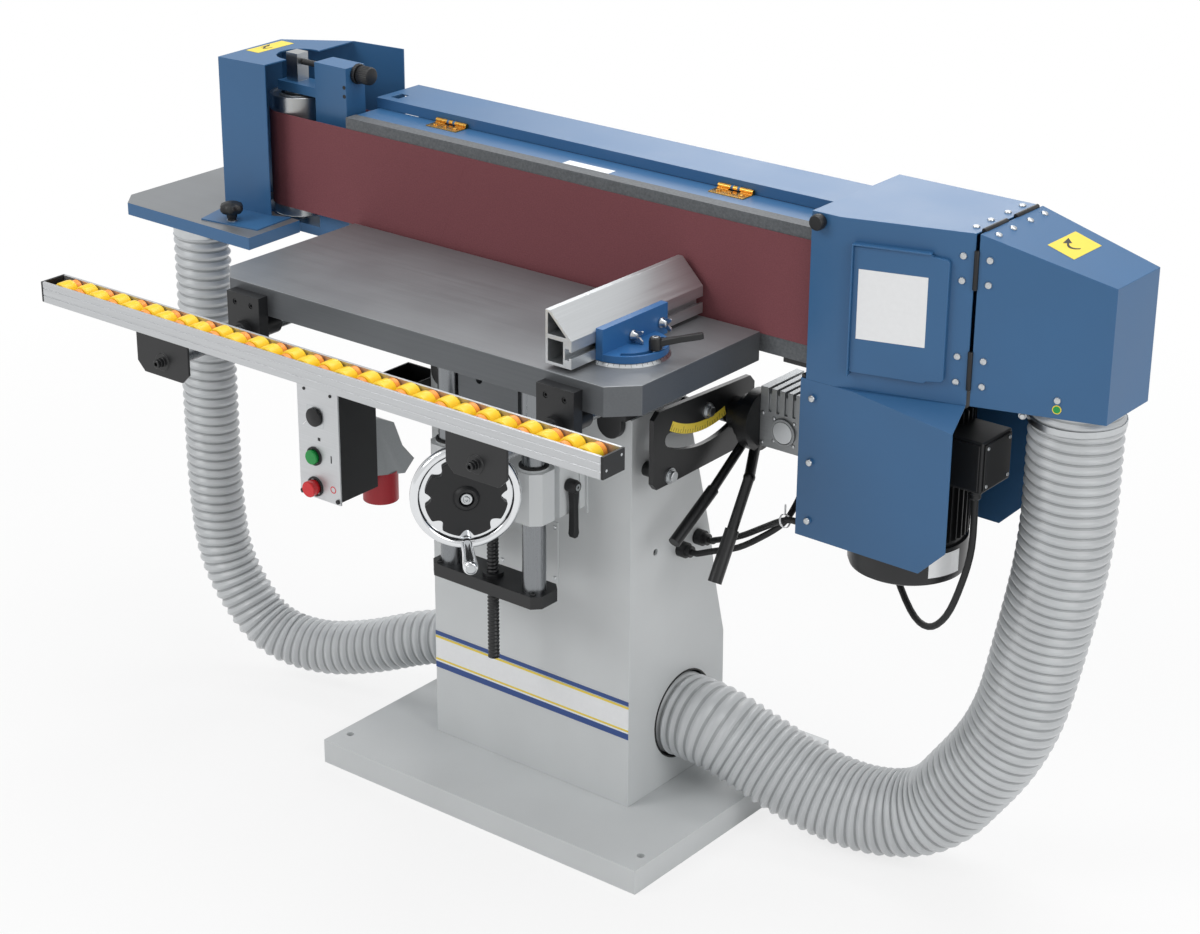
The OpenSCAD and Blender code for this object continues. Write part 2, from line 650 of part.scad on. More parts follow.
module fence() color("#cdd0d3") {
    x0 = fence_x0;
    x1 = fence_x1;
    z0 = fence_z;
    z1 = fence_z + fence_h;
    zs = z1 - fence_w + 8;
    xz(fence_back - fence_len, fence_len) difference() {
        polygon([[x0, z0], [x1, z0], [x1, zs], [x0 + 8, z1], [x0, z1]]);
        polygon([[x0 + 4, z0 + 4], [x1 - 14, z0 + 4], [x1 - 14, z0 + 36], [x0 + 4, z0 + 36]]);
        polygon([[x0 + 4, z0 + 42], [x1 - 7.7, z0 + 42], [x0 + 6.3, z1 - 4], [x0 + 4, z1 - 4]]);
        polygon([[x1 + 1, bolt_z - 4.6], [x1 + 1, bolt_z + 4.6], [x1 - 4, bolt_z + 4.6],
            [x1 - 4, bolt_z + 8], [x1 - 11, bolt_z + 8], [x1 - 11, bolt_z - 8],
            [x1 - 4, bolt_z - 8], [x1 - 4, bolt_z - 4.6]]);
    }
}

module wing_bolt(y) color(steel) {
    xcyl(fence_x1 - 10, 4.5, 7, y, bolt_z);
    xcyl(fence_x1 - 9, 34, 4, y, bolt_z);
    xcyl(fence_x1 + 12 + side_c, 10, 7.5, y, bolt_z);
    box(fence_x1 + 16, fence_x1 + 30, y - 2.5, y + 2.5, bolt_z - 9, bolt_z + 9);
}
module wing_bolt_front() wing_bolt(mitre_y + 5);
module wing_bolt_rear() wing_bolt(mitre_y + 69);

// Lever whose stud runs in the curved slot of the head
module mitre_lever() color(black) {
    zcyl(table_z + side_c, mitre_t + 20, 4, mitre_x + 50, mitre_y);
    zcyl(mitre_z + 10 + 2 * side_c, 16, 9, mitre_x + 50, mitre_y);
    bar([mitre_x + 50, mitre_y, mitre_z + 20], [mitre_x + 97, mitre_y + 47, mitre_z + 30], 5.5);
}

// ---- head ----
module trunnions() color(black) for (s = [-1, 1]) difference() {
    x0 = s * trunnion_x - trunnion_t / 2;
    foot_x = s * (trunnion_x + 8);
    union() {
        yz(x0, trunnion_t) polygon([[tilt_y - 17, tilt_z - 6], [tilt_y - 52, column_top + 10],
            [tilt_y - 6, column_top + 10], [tilt_y + 2, tilt_z - 46], [tilt_y + 15, tilt_z - 13]]);
        xcyl(x0, trunnion_t, tilt_r + 8, tilt_y, tilt_z);
        box(foot_x - 30, foot_x + 30, column_front - 12, 8, column_top, column_top + 12);
        box(foot_x - 22, foot_x + 22, column_front - 12, column_front, column_top - 10, column_top + 1);
        ycyl(column_front - 12, 12, 22, foot_x, column_top - 10);
    }
    xcyl(x0 - 1, trunnion_t + 2, tilt_r + run_c, tilt_y, tilt_z);
}

module head_beam() color(blue) {
    lug = trunnion_t / 2 + 2;
    box(-platen_half, platen_half, platen_back, beam_back, platen_top - beam_t, platen_top);
    box(-platen_half, platen_half, beam_back - beam_t, beam_back, platen_z, platen_top - beam_t);
    for (x = [-platen_half, platen_half - 6])
        box(x, x + 6, platen_back, beam_back - beam_t, platen_z, platen_top - beam_t);
    for (s = [-1, 1], k = [-1, 1]) {
        x = s * trunnion_x + k * (lug + lug_t / 2);
        box(x - lug_t / 2, x + lug_t / 2, platen_back, beam_back - beam_t, platen_z + 3, platen_top - beam_t);
    }
    xcyl(-trunnion_x - lug - lug_t, 2 * (trunnion_x + lug + lug_t), tilt_r, tilt_y, tilt_z);
}

module platen() color("#6c6f73")
    box(-platen_half, platen_half, platen_y, platen_back, platen_z, platen_top);

module loop_outline(grow) hull() {
    translate([idle_x, idle_y]) circle(r = idle_r + side_c + grow, $fn = 96);
    translate([drive_x, drive_y]) circle(r = drive_r + side_c + grow, $fn = 96);
    translate([platen_half - 2, belt_in + 2]) circle(r = 2 + grow, $fn = 24);
}
module belt() color("#6b3f45") xy(belt_z, belt_w) difference() {
    loop_outline(belt_t);
    loop_outline(0);
}

module idle_drum() color(steel) difference() {
    zcyl(drum_z, drum_h, idle_r, idle_x, idle_y);
    zcyl(drum_z - 1, drum_h + 2, 12 + run_c, idle_x, idle_y);
    for (z = [drum_z - 1, drum_z + drum_h - 3]) translate([idle_x, idle_y, z]) difference() {
        cylinder(h = 4, r = idle_r - 6);
        cylinder(h = 4, r = 22);
    }
}

module drive_drum() color(steel) {
    zcyl(drum_z, drum_h, drive_r, drive_x, drive_y);
    zcyl(motor_plate_z - 74, drum_z - motor_plate_z + 75, 14, drive_x, drive_y);
}

// Lower arm, post and upper arm that hold the idle axle inside the belt loop
module idle_bracket() color(blue) {
    upper_z = drum_z + drum_h + 4;
    box(idle_x - 117, -platen_half + 30, idle_y - 25, idle_y + 25, arm_z, side_low);
    box(-platen_half - 10, -platen_half + 30, platen_y + 2, beam_back, side_low - 1, platen_z);
    difference() {
        box(idle_x + 61, idle_x + 127, idle_y - 25, idle_y + 17, side_low - 1, post_top);
        xcyl(idle_x + 59, 70, 5 + run_c, idle_y, screw_z);
    }
    box(idle_x - 22, idle_x + 62, idle_y - 23, idle_y + 17, upper_z, upper_z + arm_t);
    zcyl(arm_z + 1, upper_z - arm_z, 12, idle_x, idle_y);
    box(idle_x - 12, idle_x + 12, idle_y - 12, idle_y + 12, upper_z + arm_t - 1, post_top + 2);
}

module tracking_knob() color(black) {
    xcyl(idle_x + 12 + side_c, 150, 5, idle_y, screw_z);
    xcyl(idle_x + 127 + side_c, 7, 9, idle_y, screw_z);
    xcyl(idle_x + 134.5, 25, 14, idle_y, screw_z);
}

idle_a = [idle_x - 85, -74.5];
idle_b = [idle_x + 8, -66.5];
idle_e = [idle_x - 89, 66.5];
idle_f = [idle_x + 10, 50.5];
idle_g = [idle_x + 9, 133.5];
idle_h = [idle_x + 104, 145.5];
module idle_cover() color(blue) {
    xy(side_z, idle_top - side_z) polygon(ribbon([idle_h, idle_g, idle_e, idle_a, idle_b], sheet_t));
    xy(idle_top - sheet_t, sheet_t) difference() {
        polygon(inset([idle_a, idle_b, idle_f, idle_g, idle_e], sheet_t / 2));
        translate([idle_x + 2, 16.5]) circle(r = 36);
    }
    difference() {
        xy(side_z, sheet_t) polygon([idle_a + [0, 1], [idle_x - 66, -145.5],
            [idle_x + 42, -130.5], [idle_x + 37, -51.5], idle_b + [0, 1]]);
        zcyl(side_z - 1, 4, 4 + run_c, idle_x - 22, -121.5);
    }
}

module knob_star(r, h) difference() {
    cylinder(h = h, r = r);
    for (a = [0:60:300]) rotate([0, 0, a]) translate([r + 2, 0, -1]) cylinder(h = h + 2, r = 4.5);
}

module idle_cover_knob() color(black) translate([idle_x - 22, -121.5, 0]) {
    translate([0, 0, side_low + 4]) cylinder(h = side_t + 10, r = 4);
    translate([0, 0, side_z + sheet_t + side_c]) cylinder(h = 6, r = 7);
    translate([0, 0, side_z + 8]) knob_star(14, 12);
}

module small_table() color(blue) difference() {
    xy(side_low, side_t) polygon([[idle_x - 249, -125.5], [idle_x - 221, -158.5], [idle_x + 57, -163.5],
        [idle_x + 54, -49.5], [idle_x, -49.5], [idle_x - 58, idle_y], [idle_x - 58, 82.5],
        [idle_x - 248, 82.5]]);
    zcyl(side_low - 1, side_t + 2, idle_r + 13, idle_x, idle_y);
    zcyl(side_low + 2, side_t, 4 + run_c, idle_x - 22, -121.5);
}

guard_half = [-platen_half - 6, platen_half];
hinge_x = [-278, 250];
module rear_guard() color(blue) {
    difference() {
        box(guard_half[0], guard_half[1], beam_back, 141.5, guard_top - sheet_t, guard_top);
        box(-420, -404, 60, 84, guard_top - 4, guard_top + 1);
    }
    box(guard_half[0], guard_half[1], beam_back, beam_back + sheet_t, platen_top + side_c, guard_top);
    box(guard_half[0], guard_half[1], 141.5 - sheet_t, 141.5, 790, guard_top);
    for (x = hinge_x) difference() {
        union() {
            xcyl(x - 10, 20, 3.4, hinge_y, hinge_z);
            box(x - 10, x + 10, hinge_y, beam_back + 1, hinge_z - 0.8, hinge_z + 1.2);
        }
        xcyl(x - 11, 22, 1.5 + run_c, hinge_y, hinge_z);
    }
}

module guard_hinges() color("#b5852f") for (x = hinge_x) {
    box(x - 30, x + 30, hinge_y - 26, hinge_y - 4, platen_top, platen_top + 1.5);
    for (s = [-1, 1]) {
        xcyl(s > 0 ? x + 10 + side_c : x - 30, 20 - side_c, 3.4, hinge_y, hinge_z);
        box(s > 0 ? x + 10 + side_c : x - 30, s > 0 ? x + 30 : x - 10 - side_c,
            hinge_y - 5, hinge_y, platen_top, platen_top + 2.5);
    }
    xcyl(x - 29, 58, 1.5, hinge_y, hinge_z);
    for (d = [-18, 0, 18]) zcyl(platen_top + 1, 2.5, 3, x + d, hinge_y - 16);
}

// ---- drive end ----
function front_y(x) = cover_front + max(0, x - bend_x) * slant;
module drive_cover() color(blue) difference() {
    xy(cover_z, cover_h) polygon([[cover_x0, cover_front], [bend_x, cover_front], [seam_x, front_y(seam_x)],
        [seam_x, cover_back], [cover_x0, cover_back]]);
    xy(cover_z - 1, cover_h - sheet_t + 1) polygon([[cover_x0 - 9, cover_front + sheet_t],
        [bend_x, cover_front + sheet_t], [seam_x + 9, front_y(seam_x + 9) + sheet_t],
        [seam_x + 9, cover_back - sheet_t], [cover_x0 - 9, cover_back - sheet_t]]);
    ycyl(cover_front - 1, sheet_t + 2, 4 + run_c, cover_x0 + 14, cover_top - 12);
}

end_x0 = seam_x + seam_gap;
module end_profile(g) polygon([[end_x0 - (g > 0 ? 9 : 0), cover_z + g], [cover_x1 - g, cover_z + g],
    [cover_x1 - g, cover_low - g], [end_x0 - (g > 0 ? 9 : 0),
    cover_top - g + (g > 0 ? 9 * (cover_top - cover_low) / (cover_x1 - end_x0) : 0)]]);
module end_plan(g) polygon([[end_x0 - (g > 0 ? 9 : 0), front_y(end_x0 - (g > 0 ? 9 : 0)) + g],
    [cover_x1 - g, front_y(cover_x1 - g) + g], [cover_x1 - g, 178.5 - g],
    [end_x0 - (g > 0 ? 9 : 0), cover_back - g]]);
module end_cover() color(blue) difference() {
    intersection() {
        xz(-60, 260) end_profile(0);
        xy(cover_z, cover_h) end_plan(0);
    }
    intersection() {
        xz(-60, 260) end_profile(sheet_t);
        xy(cover_z, cover_h) end_plan(sheet_t);
    }
    zcyl(cover_z - 1, sheet_t + 2, hose_r_r - 11, right_x, right_y);
}

seam_mid = seam_x + seam_gap / 2;
module cover_connectors() color(black) {
    for (z = [933, 793]) translate([seam_mid, front_y(seam_mid), z]) rotate([0, 0, atan(slant)])
        difference() {
            translate([-9, -4, 0]) cube([18, 4, 54]);
            translate([-3, -5, 8]) cube([6, 3, 38]);
        }
    for (y = [23.5, 104.5]) difference() {
        box(seam_mid - 9, seam_mid + 9, y, y + 58, cover_top, cover_top + 4);
        box(seam_mid - 3, seam_mid + 3, y + 8, y + 50, cover_top + 2, cover_top + 5);
    }
}

module cover_knob() color(black) {
    ycyl(cover_front - 4, 12, 4, cover_x0 + 14, cover_top - 12);
    translate([cover_x0 + 14, cover_front - side_c, cover_top - 12]) rotate([90, 0, 0]) cylinder(h = 14, r = 11);
}

module motor() color(black) difference() {
    union() {
        zcyl(motor_z0 + 8, motor_plate_z - 30 - motor_z0 - 8, motor_r, drive_x, drive_y);
        zcyl(motor_z0, 9, motor_r - 8, drive_x, drive_y);
        zcyl(motor_plate_z - 31, 31, motor_r - 2 * side_c, drive_x, drive_y);
        box(drive_x + 70, drive_x + 142, 11.5, 91.5, 722 - term_h, 722);
        zcyl(722 - term_h - 13, 14, 9, 669, 26.5);
    }
    zcyl(motor_plate_z - 75, 80, 14 + run_c, drive_x, drive_y);
}

module motor_lead() color(black) tube(lead, 5, 8, [0, 1, 0]);

module motor_cover() color(blue) {
    cut = [[frame_x, lower_z], [628, lower_z - 2], [668, lower_z + 38], [668, 748], [509, cover_z],
        [frame_x, cover_z]];
    xz(cover_front, sheet_t) polygon(cut);
    xz(cover_back, sheet_t) polygon(cut);
    // roof between the crease of the front sheet and the slanted cover
    polyhedron(points = [[509, cover_front, cover_z], [668, cover_front, 748], [seam_x, front_y(seam_x), cover_z],
        [509, cover_front, cover_z - 2], [668, cover_front, 746], [seam_x, front_y(seam_x), cover_z - 2]],
        faces = [[0, 2, 1], [3, 4, 5], [0, 1, 4, 3], [1, 2, 5, 4], [2, 0, 3, 5]]);
    for (z = [745, 650, 562]) ycyl(cover_front - 3, 3.5, 5, 447, z);
}

// Black side plate and the plate that carries the motor
module head_frame() color(black) difference() {
    union() {
        box(frame_x, frame_x + frame_t, cover_front + sheet_t, cover_back, lower_z, motor_plate_z);
        box(frame_x, frame_x + 26, cover_front + sheet_t, cover_front + sheet_t + 3, lower_z + 10, cover_z - 6);
        box(frame_x, frame_x + 26, cover_back - 3, cover_back, lower_z + 10, cover_z - 6);
        xy(motor_plate_z, motor_plate_t) polygon([[380, -20], [530, -20], [640, 14], [640, cover_back - sheet_t],
            [cover_x0 + 2, cover_back - sheet_t], [cover_x0 + 2, 150], [380, 150]]);
    }
    zcyl(motor_plate_z - 1, motor_plate_t + 2, 20, drive_x, drive_y);
}

// Finned worm gearbox
module gearbox() color("#b9bcbf") difference() {
    union() {
        box(gear_x, 372, 66.5, 156.5, gear_z, gear_z + 92);
        xcyl(371, frame_x - 371, 38, 111, gear_z + 46);
        ycyl(62.5, 5, 21, 327, gear_z + 30);
    }
    for (x = [gear_x + 14:14:360]) box(x, x + 5, 60, 160, gear_z + 82, gear_z + 93);
    for (x = [gear_x + 14:14:360]) box(x, x + 5, 60, 70, gear_z + 56, gear_z + 93);
    ycyl(61, 3, 17, 327, gear_z + 30);
}

// ---- tilt lock ----
bolt_at = [[8, 657], [-80.5, 584]];
module quadrant_plate() color(black) {
    difference() {
        yz(quad_x, quad_t) polygon([[-120.5, 582], [-112, 572], [-60, 572], [112, 574], [123.5, 586],
            [123.5, 668], [112, 680], [-108, 690], [-120.5, 680]]);
        translate([quad_x - 1, tilt_y, tilt_z]) rotate([0, 90, 0]) rotate([0, 0, -28])
            rotate_extrude(angle = 53) translate([slot_r - slot_w / 2, 0]) square([slot_w, quad_t + 2]);
        for (a = [-28, 25]) xcyl(quad_x - 1, quad_t + 2, slot_w / 2 - 1,
            tilt_y + slot_r * sin(a), tilt_z - slot_r * cos(a));
    }
    for (p = bolt_at) {
        xcyl(column_side, quad_gap, 11, p[0], p[1]);
        xcyl(quad_x + quad_t, 2, 12, p[0], p[1]);
        xcyl(quad_x + quad_t + 2, 6, 8, p[0], p[1]);
    }
}

module lock_boss() color(black) {
    xcyl(boss_x, boss_len, 24, stud_y, stud_z);
    xcyl(quad_x - 20, disc_x - quad_x + 21, stud_r, stud_y, stud_z);
    xcyl(quad_x - 12, 10, 18, stud_y, stud_z);
    xcyl(disc_x, disc_len, 46, stud_y, stud_z);
    bar([disc_x + 9, stud_y - 6, stud_z - 40], [disc_x + 30, 26.5, 563], 8);
    translate([disc_x + 30, 26.5, 563]) sphere(r = 9);
    bar([disc_x + 30, 26.5, 563], [disc_x + 30, -12.5, 494], 8);
    bar([disc_x + 30, -12.5, 494], [disc_x + 30, -53, 424], 10.5);
}

module lock_lever() color(black) {
    x = hub_x + hub_len / 2;
    difference() {
        union() {
            xcyl(hub_x, hub_len, 34, stud_y, stud_z);
            bar([x, stud_y + 2, stud_z - 27], [x, -14, 544], 6.9);
            bar([x, -10, 546.3], [x, -102.5, 494], 9);
        }
        xcyl(hub_x - 1, hub_len + 2, stud_r + run_c, stud_y, stud_z);
    }
}

// ---- hoses and cables ----
module left_hose() color("#a9adb1") hose(left_route, hose_l_r, 2.5, 2.2, rib_l, [1, 0, 0]);
module right_hose() color("#a9adb1") hose(right_route, hose_r_r, 3, 2.4, rib_r, [1, 0, 0]);

module hose_collars() color(steel) {
    difference() {
        union() {
            zcyl(side_low - collar_drop, collar_drop, hose_l_r - 1, left_x, left_y);
            zcyl(side_low - collar_drop - 14, 15, hose_l_r - 8.5, left_x, left_y);
        }
        zcyl(side_low - collar_drop - 15, collar_drop + 16, hose_l_r - 10.5, left_x, left_y);
    }
    difference() {
        zcyl(cover_z - 26, 26 + sheet_t, hose_r_r - 11, right_x, right_y);
        zcyl(cover_z - 27, 40, hose_r_r - 13, right_x, right_y);
    }
    difference() {
        union() {
            zcyl(cover_z - 24, 9, hose_r_r + 1.2, right_x, right_y);
            translate([right_x, right_y, cover_z - 24]) rotate([0, 0, 205]) translate([hose_r_r - 1, -7, 0])
                cube([12, 14, 9]);
        }
        zcyl(cover_z - 25, 11, hose_r_r + 0.2, right_x, right_y);
    }
}

module control_cables() color(black) {
    tube(cable_a, 4.7, 8, [0, 0, 1]);
    tube(cable_b, 4.7, 8, [0, 1, 0]);
}

module cable_glands() color(black) {
    for (p = [[47.4, 432], [5.3, 427]]) {
        xcyl(column_side, 14, 12, p[0], p[1]);
        xcyl(column_side + 13, 9, 9, p[0], p[1]);
    }
}

// ---- controls ----
switch_x = box_x0 + 36;
button_x = box_x0 + 32;
rotary_z = box_z0 + 134;
green_z = box_z0 + 69;
red_z = box_z0 + 16;
module control_box() color(black) {
    difference() {
        box(box_x0 + 3, box_x0 + box_w - 3, panel_y + 3, panel_y + 3 + box_d, box_z0 + 3, box_z0 + box_h - 3);
        for (z = [green_z, red_z + 3]) ycyl(panel_y + 2, 9, 11.3, button_x, z);
    }
    x1 = -column_side;
    difference() {
        box(-262, x1, -150, -86, 600, 640);
        box(-259, x1 - 3, -147, -89, 603, 641);
    }
    box(box_x0 + box_w - 4, -255, -165, -147.5, 605, 637);
}

module control_panel() color(steel) difference() {
    box(box_x0, box_x0 + box_w, panel_y, panel_y + 3, box_z0, box_z0 + box_h);
    ycyl(panel_y - 1, 5, 6 + run_c, switch_x, rotary_z);
    ycyl(panel_y - 1, 5, 11 + run_c, button_x, green_z);
    ycyl(panel_y - 1, 5, 11 + run_c, button_x, red_z + 3);
}

module rotary_switch() color(black) {
    ycyl(panel_y - 6, 9 - side_c, 6, switch_x, rotary_z);
    ycyl(panel_y - 6, 6 - side_c, 15, switch_x, rotary_z);
    translate([switch_x, panel_y - 18, rotary_z]) rotate([0, -45, 0])
        translate([-5, 0, -15]) cube([10, 13, 30]);
}

module push_button(z, r, out) {
    ycyl(panel_y - 3.5 - out, out, r, button_x, z);
    ycyl(panel_y - 4.5, 7, 11, button_x, z);
}
module green_button() color("#1f9a3a") push_button(green_z, 12, 6);
module red_button() color("#d3202a") push_button(red_z + 3, 13, 14);

// Angled plug inlet on the back of the box
module power_inlet() color("#9ea2a6") {
    y0 = panel_y + 3 + box_d;
    x0 = box_x0 + 28;
    yz(x0, 52) polygon([[y0, 468], [y0 + 62, 452], [y0 + 84, 470], [y0 + 58, 500], [y0 + 40, 544],
        [y0 + 8, 560], [y0, 560]]);
    difference() {
        zcyl(412, 50, 28, x0 + 26, y0 + 34);
        zcyl(411, 38, 25, x0 + 26, y0 + 34);
    }
    for (a = [0, 90, 180, 270]) rotate([0, 0, 0])
        zcyl(425, 26, 3, x0 + 26 + 13 * cos(a), y0 + 34 + 13 * sin(a));
}

base_plate();
column();
guide_block();
trunnions();
quadrant_plate();
dust_duct();
control_box();
control_panel();
power_inlet();
cable_glands();
left_hose();
right_hose();
control_cables();
guide_posts();
bottom_bar();
crosshead();
table();
rail_brackets();
mitre_base();
lift_screw();
handwheel();
handwheel_hub();
wheel_grip();
roller_rail();
rail_end_caps();
rail_rollers();
rail_hangers();
mitre_head();
fence();
mitre_lever();
wing_bolt_front();
wing_bolt_rear();
post_lock_lever();
head_beam();
platen();
belt();
idle_bracket();
idle_drum();
tracking_knob();
idle_cover();
idle_cover_knob();
small_table();
rear_guard();
guard_hinges();
drive_cover();
end_cover();
cover_connectors();
cover_knob();
motor();
motor_lead();
motor_cover();
head_frame();
gearbox();
lock_boss();
lock_lever();
rotary_switch();
green_button();
red_button();
hose_collars();
drive_drum();
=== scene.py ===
"""Dresses the edge sander: covers, belt, table, hoses, controls and the studio round it."""
import json
import math
from itertools import accumulate

import bmesh
import bpy
from bpy.props import FloatProperty, IntProperty, PointerProperty, StringProperty
from mathutils import Matrix, Vector


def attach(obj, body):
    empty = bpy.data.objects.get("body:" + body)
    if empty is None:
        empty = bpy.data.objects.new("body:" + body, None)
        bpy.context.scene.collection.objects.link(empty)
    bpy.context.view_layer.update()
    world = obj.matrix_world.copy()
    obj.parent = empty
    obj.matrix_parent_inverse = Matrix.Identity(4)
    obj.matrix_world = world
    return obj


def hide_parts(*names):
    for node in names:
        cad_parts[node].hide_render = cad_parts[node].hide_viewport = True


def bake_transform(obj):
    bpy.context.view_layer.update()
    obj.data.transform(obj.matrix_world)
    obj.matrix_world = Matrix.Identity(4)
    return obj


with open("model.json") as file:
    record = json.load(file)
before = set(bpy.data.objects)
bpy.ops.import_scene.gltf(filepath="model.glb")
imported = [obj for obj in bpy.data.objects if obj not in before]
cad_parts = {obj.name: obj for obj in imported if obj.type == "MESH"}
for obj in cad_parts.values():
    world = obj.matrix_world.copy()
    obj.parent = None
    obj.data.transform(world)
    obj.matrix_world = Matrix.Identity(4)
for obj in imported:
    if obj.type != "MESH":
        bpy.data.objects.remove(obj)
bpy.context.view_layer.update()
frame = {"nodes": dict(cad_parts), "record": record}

bl_info = {
    "name": "Edge sander dressing",
    "version": (1, 0, 0),
    "blender": (4, 5, 0),
    "location": "3D View > Sidebar > Sander",
    "description": "Finishes, hoses and small parts of a column-mounted edge sander",
    "category": "Object",
}

body_of_node = {n: b for b, nodes in frame["record"]["behaviour"]["bodies"].items() for n in nodes}

MM = 0.001
TURN = 2 * math.pi
RIGHT, UP, DOWN = Vector((1, 0, 0)), Vector((0, 0, 1)), Vector((0, 0, -1))
BACK, FRONT = Vector((0, 1, 0)), Vector((0, -1, 0))

# Places on the machine, in millimetres, as the source has them
COLUMN_FRONT = -114.5
PANEL_FRONT = -233.5
BUTTON_X = -323
INLET_X, INLET_Y = -301, -113.5
POST_X, POST_Y = 79.0, -197.5
SHAFT = Vector((0.70710678, -0.70710678, 0.0))
SHAFT_FOOT = Vector((-31.1127, -228.6127, 571.0))
TABLE_TOP = 820
HANGER_X = 252, -328
MITRE = Vector((262.0, -223.5, TABLE_TOP))
MITRE_CLAMP = Vector((312.0, -223.5, TABLE_TOP))
WING_BOLT_Z = 845
TILT = Vector((0.0, 4.5, 806.0))
QUADRANT_FRONT = 234.0
QUADRANT_BOLTS = (8, 657), (-80.5, 584)
IDLE = Vector((-573.0, 13.0, 0.0))
STAR_KNOB = Vector((-595, -121.5, 0))
TRACKING = Vector((0, 13, 1038))
DRIVE = Vector((544.0, 66.5, 0.0))
MOTOR_RADIUS = 84.5
# The fronts of both covers run back by COVER_LEAN for each millimetre to the right
COVER_LEAN = 0.3
COVER_ALONG = Vector((1, COVER_LEAN, 0)).normalized()
COVER_AWAY = Vector((COVER_ALONG.y, -COVER_ALONG.x, 0))
COVER_TOP, COVER_SEAM = 1010, 657.5
# The end cover's roof falls by END_DROP over END_RUN
END_DROP, END_RUN = 51, 176


class SanderColours(bpy.types.PropertyGroup):
    """Colours of the painted and moulded parts, as sRGB hex"""

    blue: StringProperty(name="Blue", description="Powder coat of the head", default="#34638F")
    light_grey: StringProperty(name="Light grey", description="Paint of the column", default="#D2D5D6")
    black: StringProperty(name="Black", description="Powder coat of levers and plates", default="#141517")
    belt: StringProperty(name="Belt", description="Resin and grit of the belt", default="#7A4349")
    roller: StringProperty(name="Rollers", description="Moulded rollers", default="#FFCF24")
    hose: StringProperty(name="Hose", description="Ribbed hoses", default="#C9CCCE")
    cast_blue: StringProperty(name="Mitre head", description="Painted mitre casting", default="#2F659C")


class SanderSizes(bpy.types.PropertyGroup):
    """Sizes that only the dressed model needs"""

    left_hose_radius: FloatProperty(
        name="Left hose radius", description="Crest of the ribs", default=0.045, unit="LENGTH")
    right_hose_radius: FloatProperty(
        name="Right hose radius", description="Crest of the ribs", default=0.066, unit="LENGTH")
    left_hose_pitch: FloatProperty(
        name="Left rib pitch", description="Distance between two ribs", default=0.0156, unit="LENGTH")
    right_hose_pitch: FloatProperty(
        name="Right rib pitch", description="Distance between two ribs", default=0.0150, unit="LENGTH")
    cable_radius: FloatProperty(
        name="Cable radius", description="Sheath of the control leads", default=0.0047, unit="LENGTH")
    thread_pitch: FloatProperty(
        name="Thread pitch", description="Distance between two crests", default=0.006, unit="LENGTH")
    hose_sides: IntProperty(name="Hose sides", description="Points round a hose", default=40, min=12)


# ---- materials ----
finishes = {}


def linear(code):
    """Turns an sRGB hex colour into the linear colour that a shader takes."""
    parts = [int(code[i:i + 2], 16) / 255 for i in (1, 3, 5)]
    return [c / 12.92 if c <= 0.04045 else ((c + 0.055) / 1.055) ** 2.4 for c in parts] + [1.0]


def shade(code, k):
    """The colour of a hex code, k times as light."""
    return [min(1.0, c * k) for c in linear(code)[:3]] + [1.0]


def add_node(material, kind, settings=None, links=None, feeds=None):
    """Adds one shader node with its settings and links; feeds names the shader socket that it drives."""
    tree = material.node_tree
    made = tree.nodes.new(kind)
    for key, value in (settings or {}).items():
        if isinstance(key, str) and hasattr(made, key):
            setattr(made, key, value)
        else:
            made.inputs[key].default_value = value
    for key, source in (links or {}).items():
        tree.links.new(source, made.inputs[key])
    if feeds:
        output = next(one for one in made.outputs if one.enabled)
        tree.links.new(output, tree.nodes["Principled BSDF"].inputs[feeds])
    return made


def new_surface(name, **sockets):
    """Starts a material and returns it with its object coordinates."""
    material = bpy.data.materials.new(name)
    material.use_nodes = True
    shader = material.node_tree.nodes["Principled BSDF"]
    for key, value in sockets.items():
        shader.inputs[key.replace("_", " ")].default_value = value
    return material, add_node(material, "ShaderNodeTexCoord").outputs["Object"]


def patterned(material, code, tone, tones, relief, strength, depth, gloss=None):
    """Varies colour, and roughness between the two of gloss, by one pattern, and relief by another."""
    dark, light = (shade(code, k) for k in tones)
    add_node(material, "ShaderNodeMix", {"data_type": "RGBA", 6: dark, 7: light}, {0: tone.outputs[0]},
             "Base Color")
    add_node(material, "ShaderNodeBump", {"Strength": strength, "Distance": depth * MM},
             {"Height": relief.outputs[0]}, "Normal")
    if gloss:
        add_node(material, "ShaderNodeMapRange", {"To Min": gloss[0], "To Max": gloss[1]},
                 {"Value": tone.outputs[0]}, "Roughness")
    return material


def powder_coat(name, code, roughness=0.38):
    """Polyester powder baked on sheet steel: even colour, soft gloss, faint orange peel."""
    material, place = new_surface(name, Roughness=roughness, IOR=1.5)
    # Cloudy tone over about 120 mm, as thick and thin coats give
    cloud = add_node(material, "ShaderNodeTexNoise", {"Scale": 8.0, "Detail": 3.0}, {"Vector": place})
    # Orange peel is about 1 mm across, drawn 3 mm so that it shows
    peel = add_node(material, "ShaderNodeTexNoise", {"Scale": 330.0, "Detail": 1.0}, {"Vector": place})
    return patterned(material, code, cloud, (0.93, 1.07), peel, 0.06, 0.6,
                     (roughness - 0.06, roughness + 0.08))


def drawn_metal(name, code, roughness, stretch, metallic=1.0, contrast=0.12):
    """Metal with fine parallel lines from grinding, turning or extrusion, along the axis of small stretch."""
    material, place = new_surface(name, Metallic=metallic, Roughness=roughness)
    lined = add_node(material, "ShaderNodeMapping", {"Scale": stretch}, {"Vector": place})
    lines = add_node(material, "ShaderNodeTexNoise", {"Scale": 1.0, "Detail": 4.0, "Roughness": 0.6},
                     {"Vector": lined.outputs["Vector"]})
    return patterned(material, code, lines, (1 - contrast, 1 + contrast), lines, 0.08, 0.2,
                     (roughness - 0.08, roughness + 0.1))


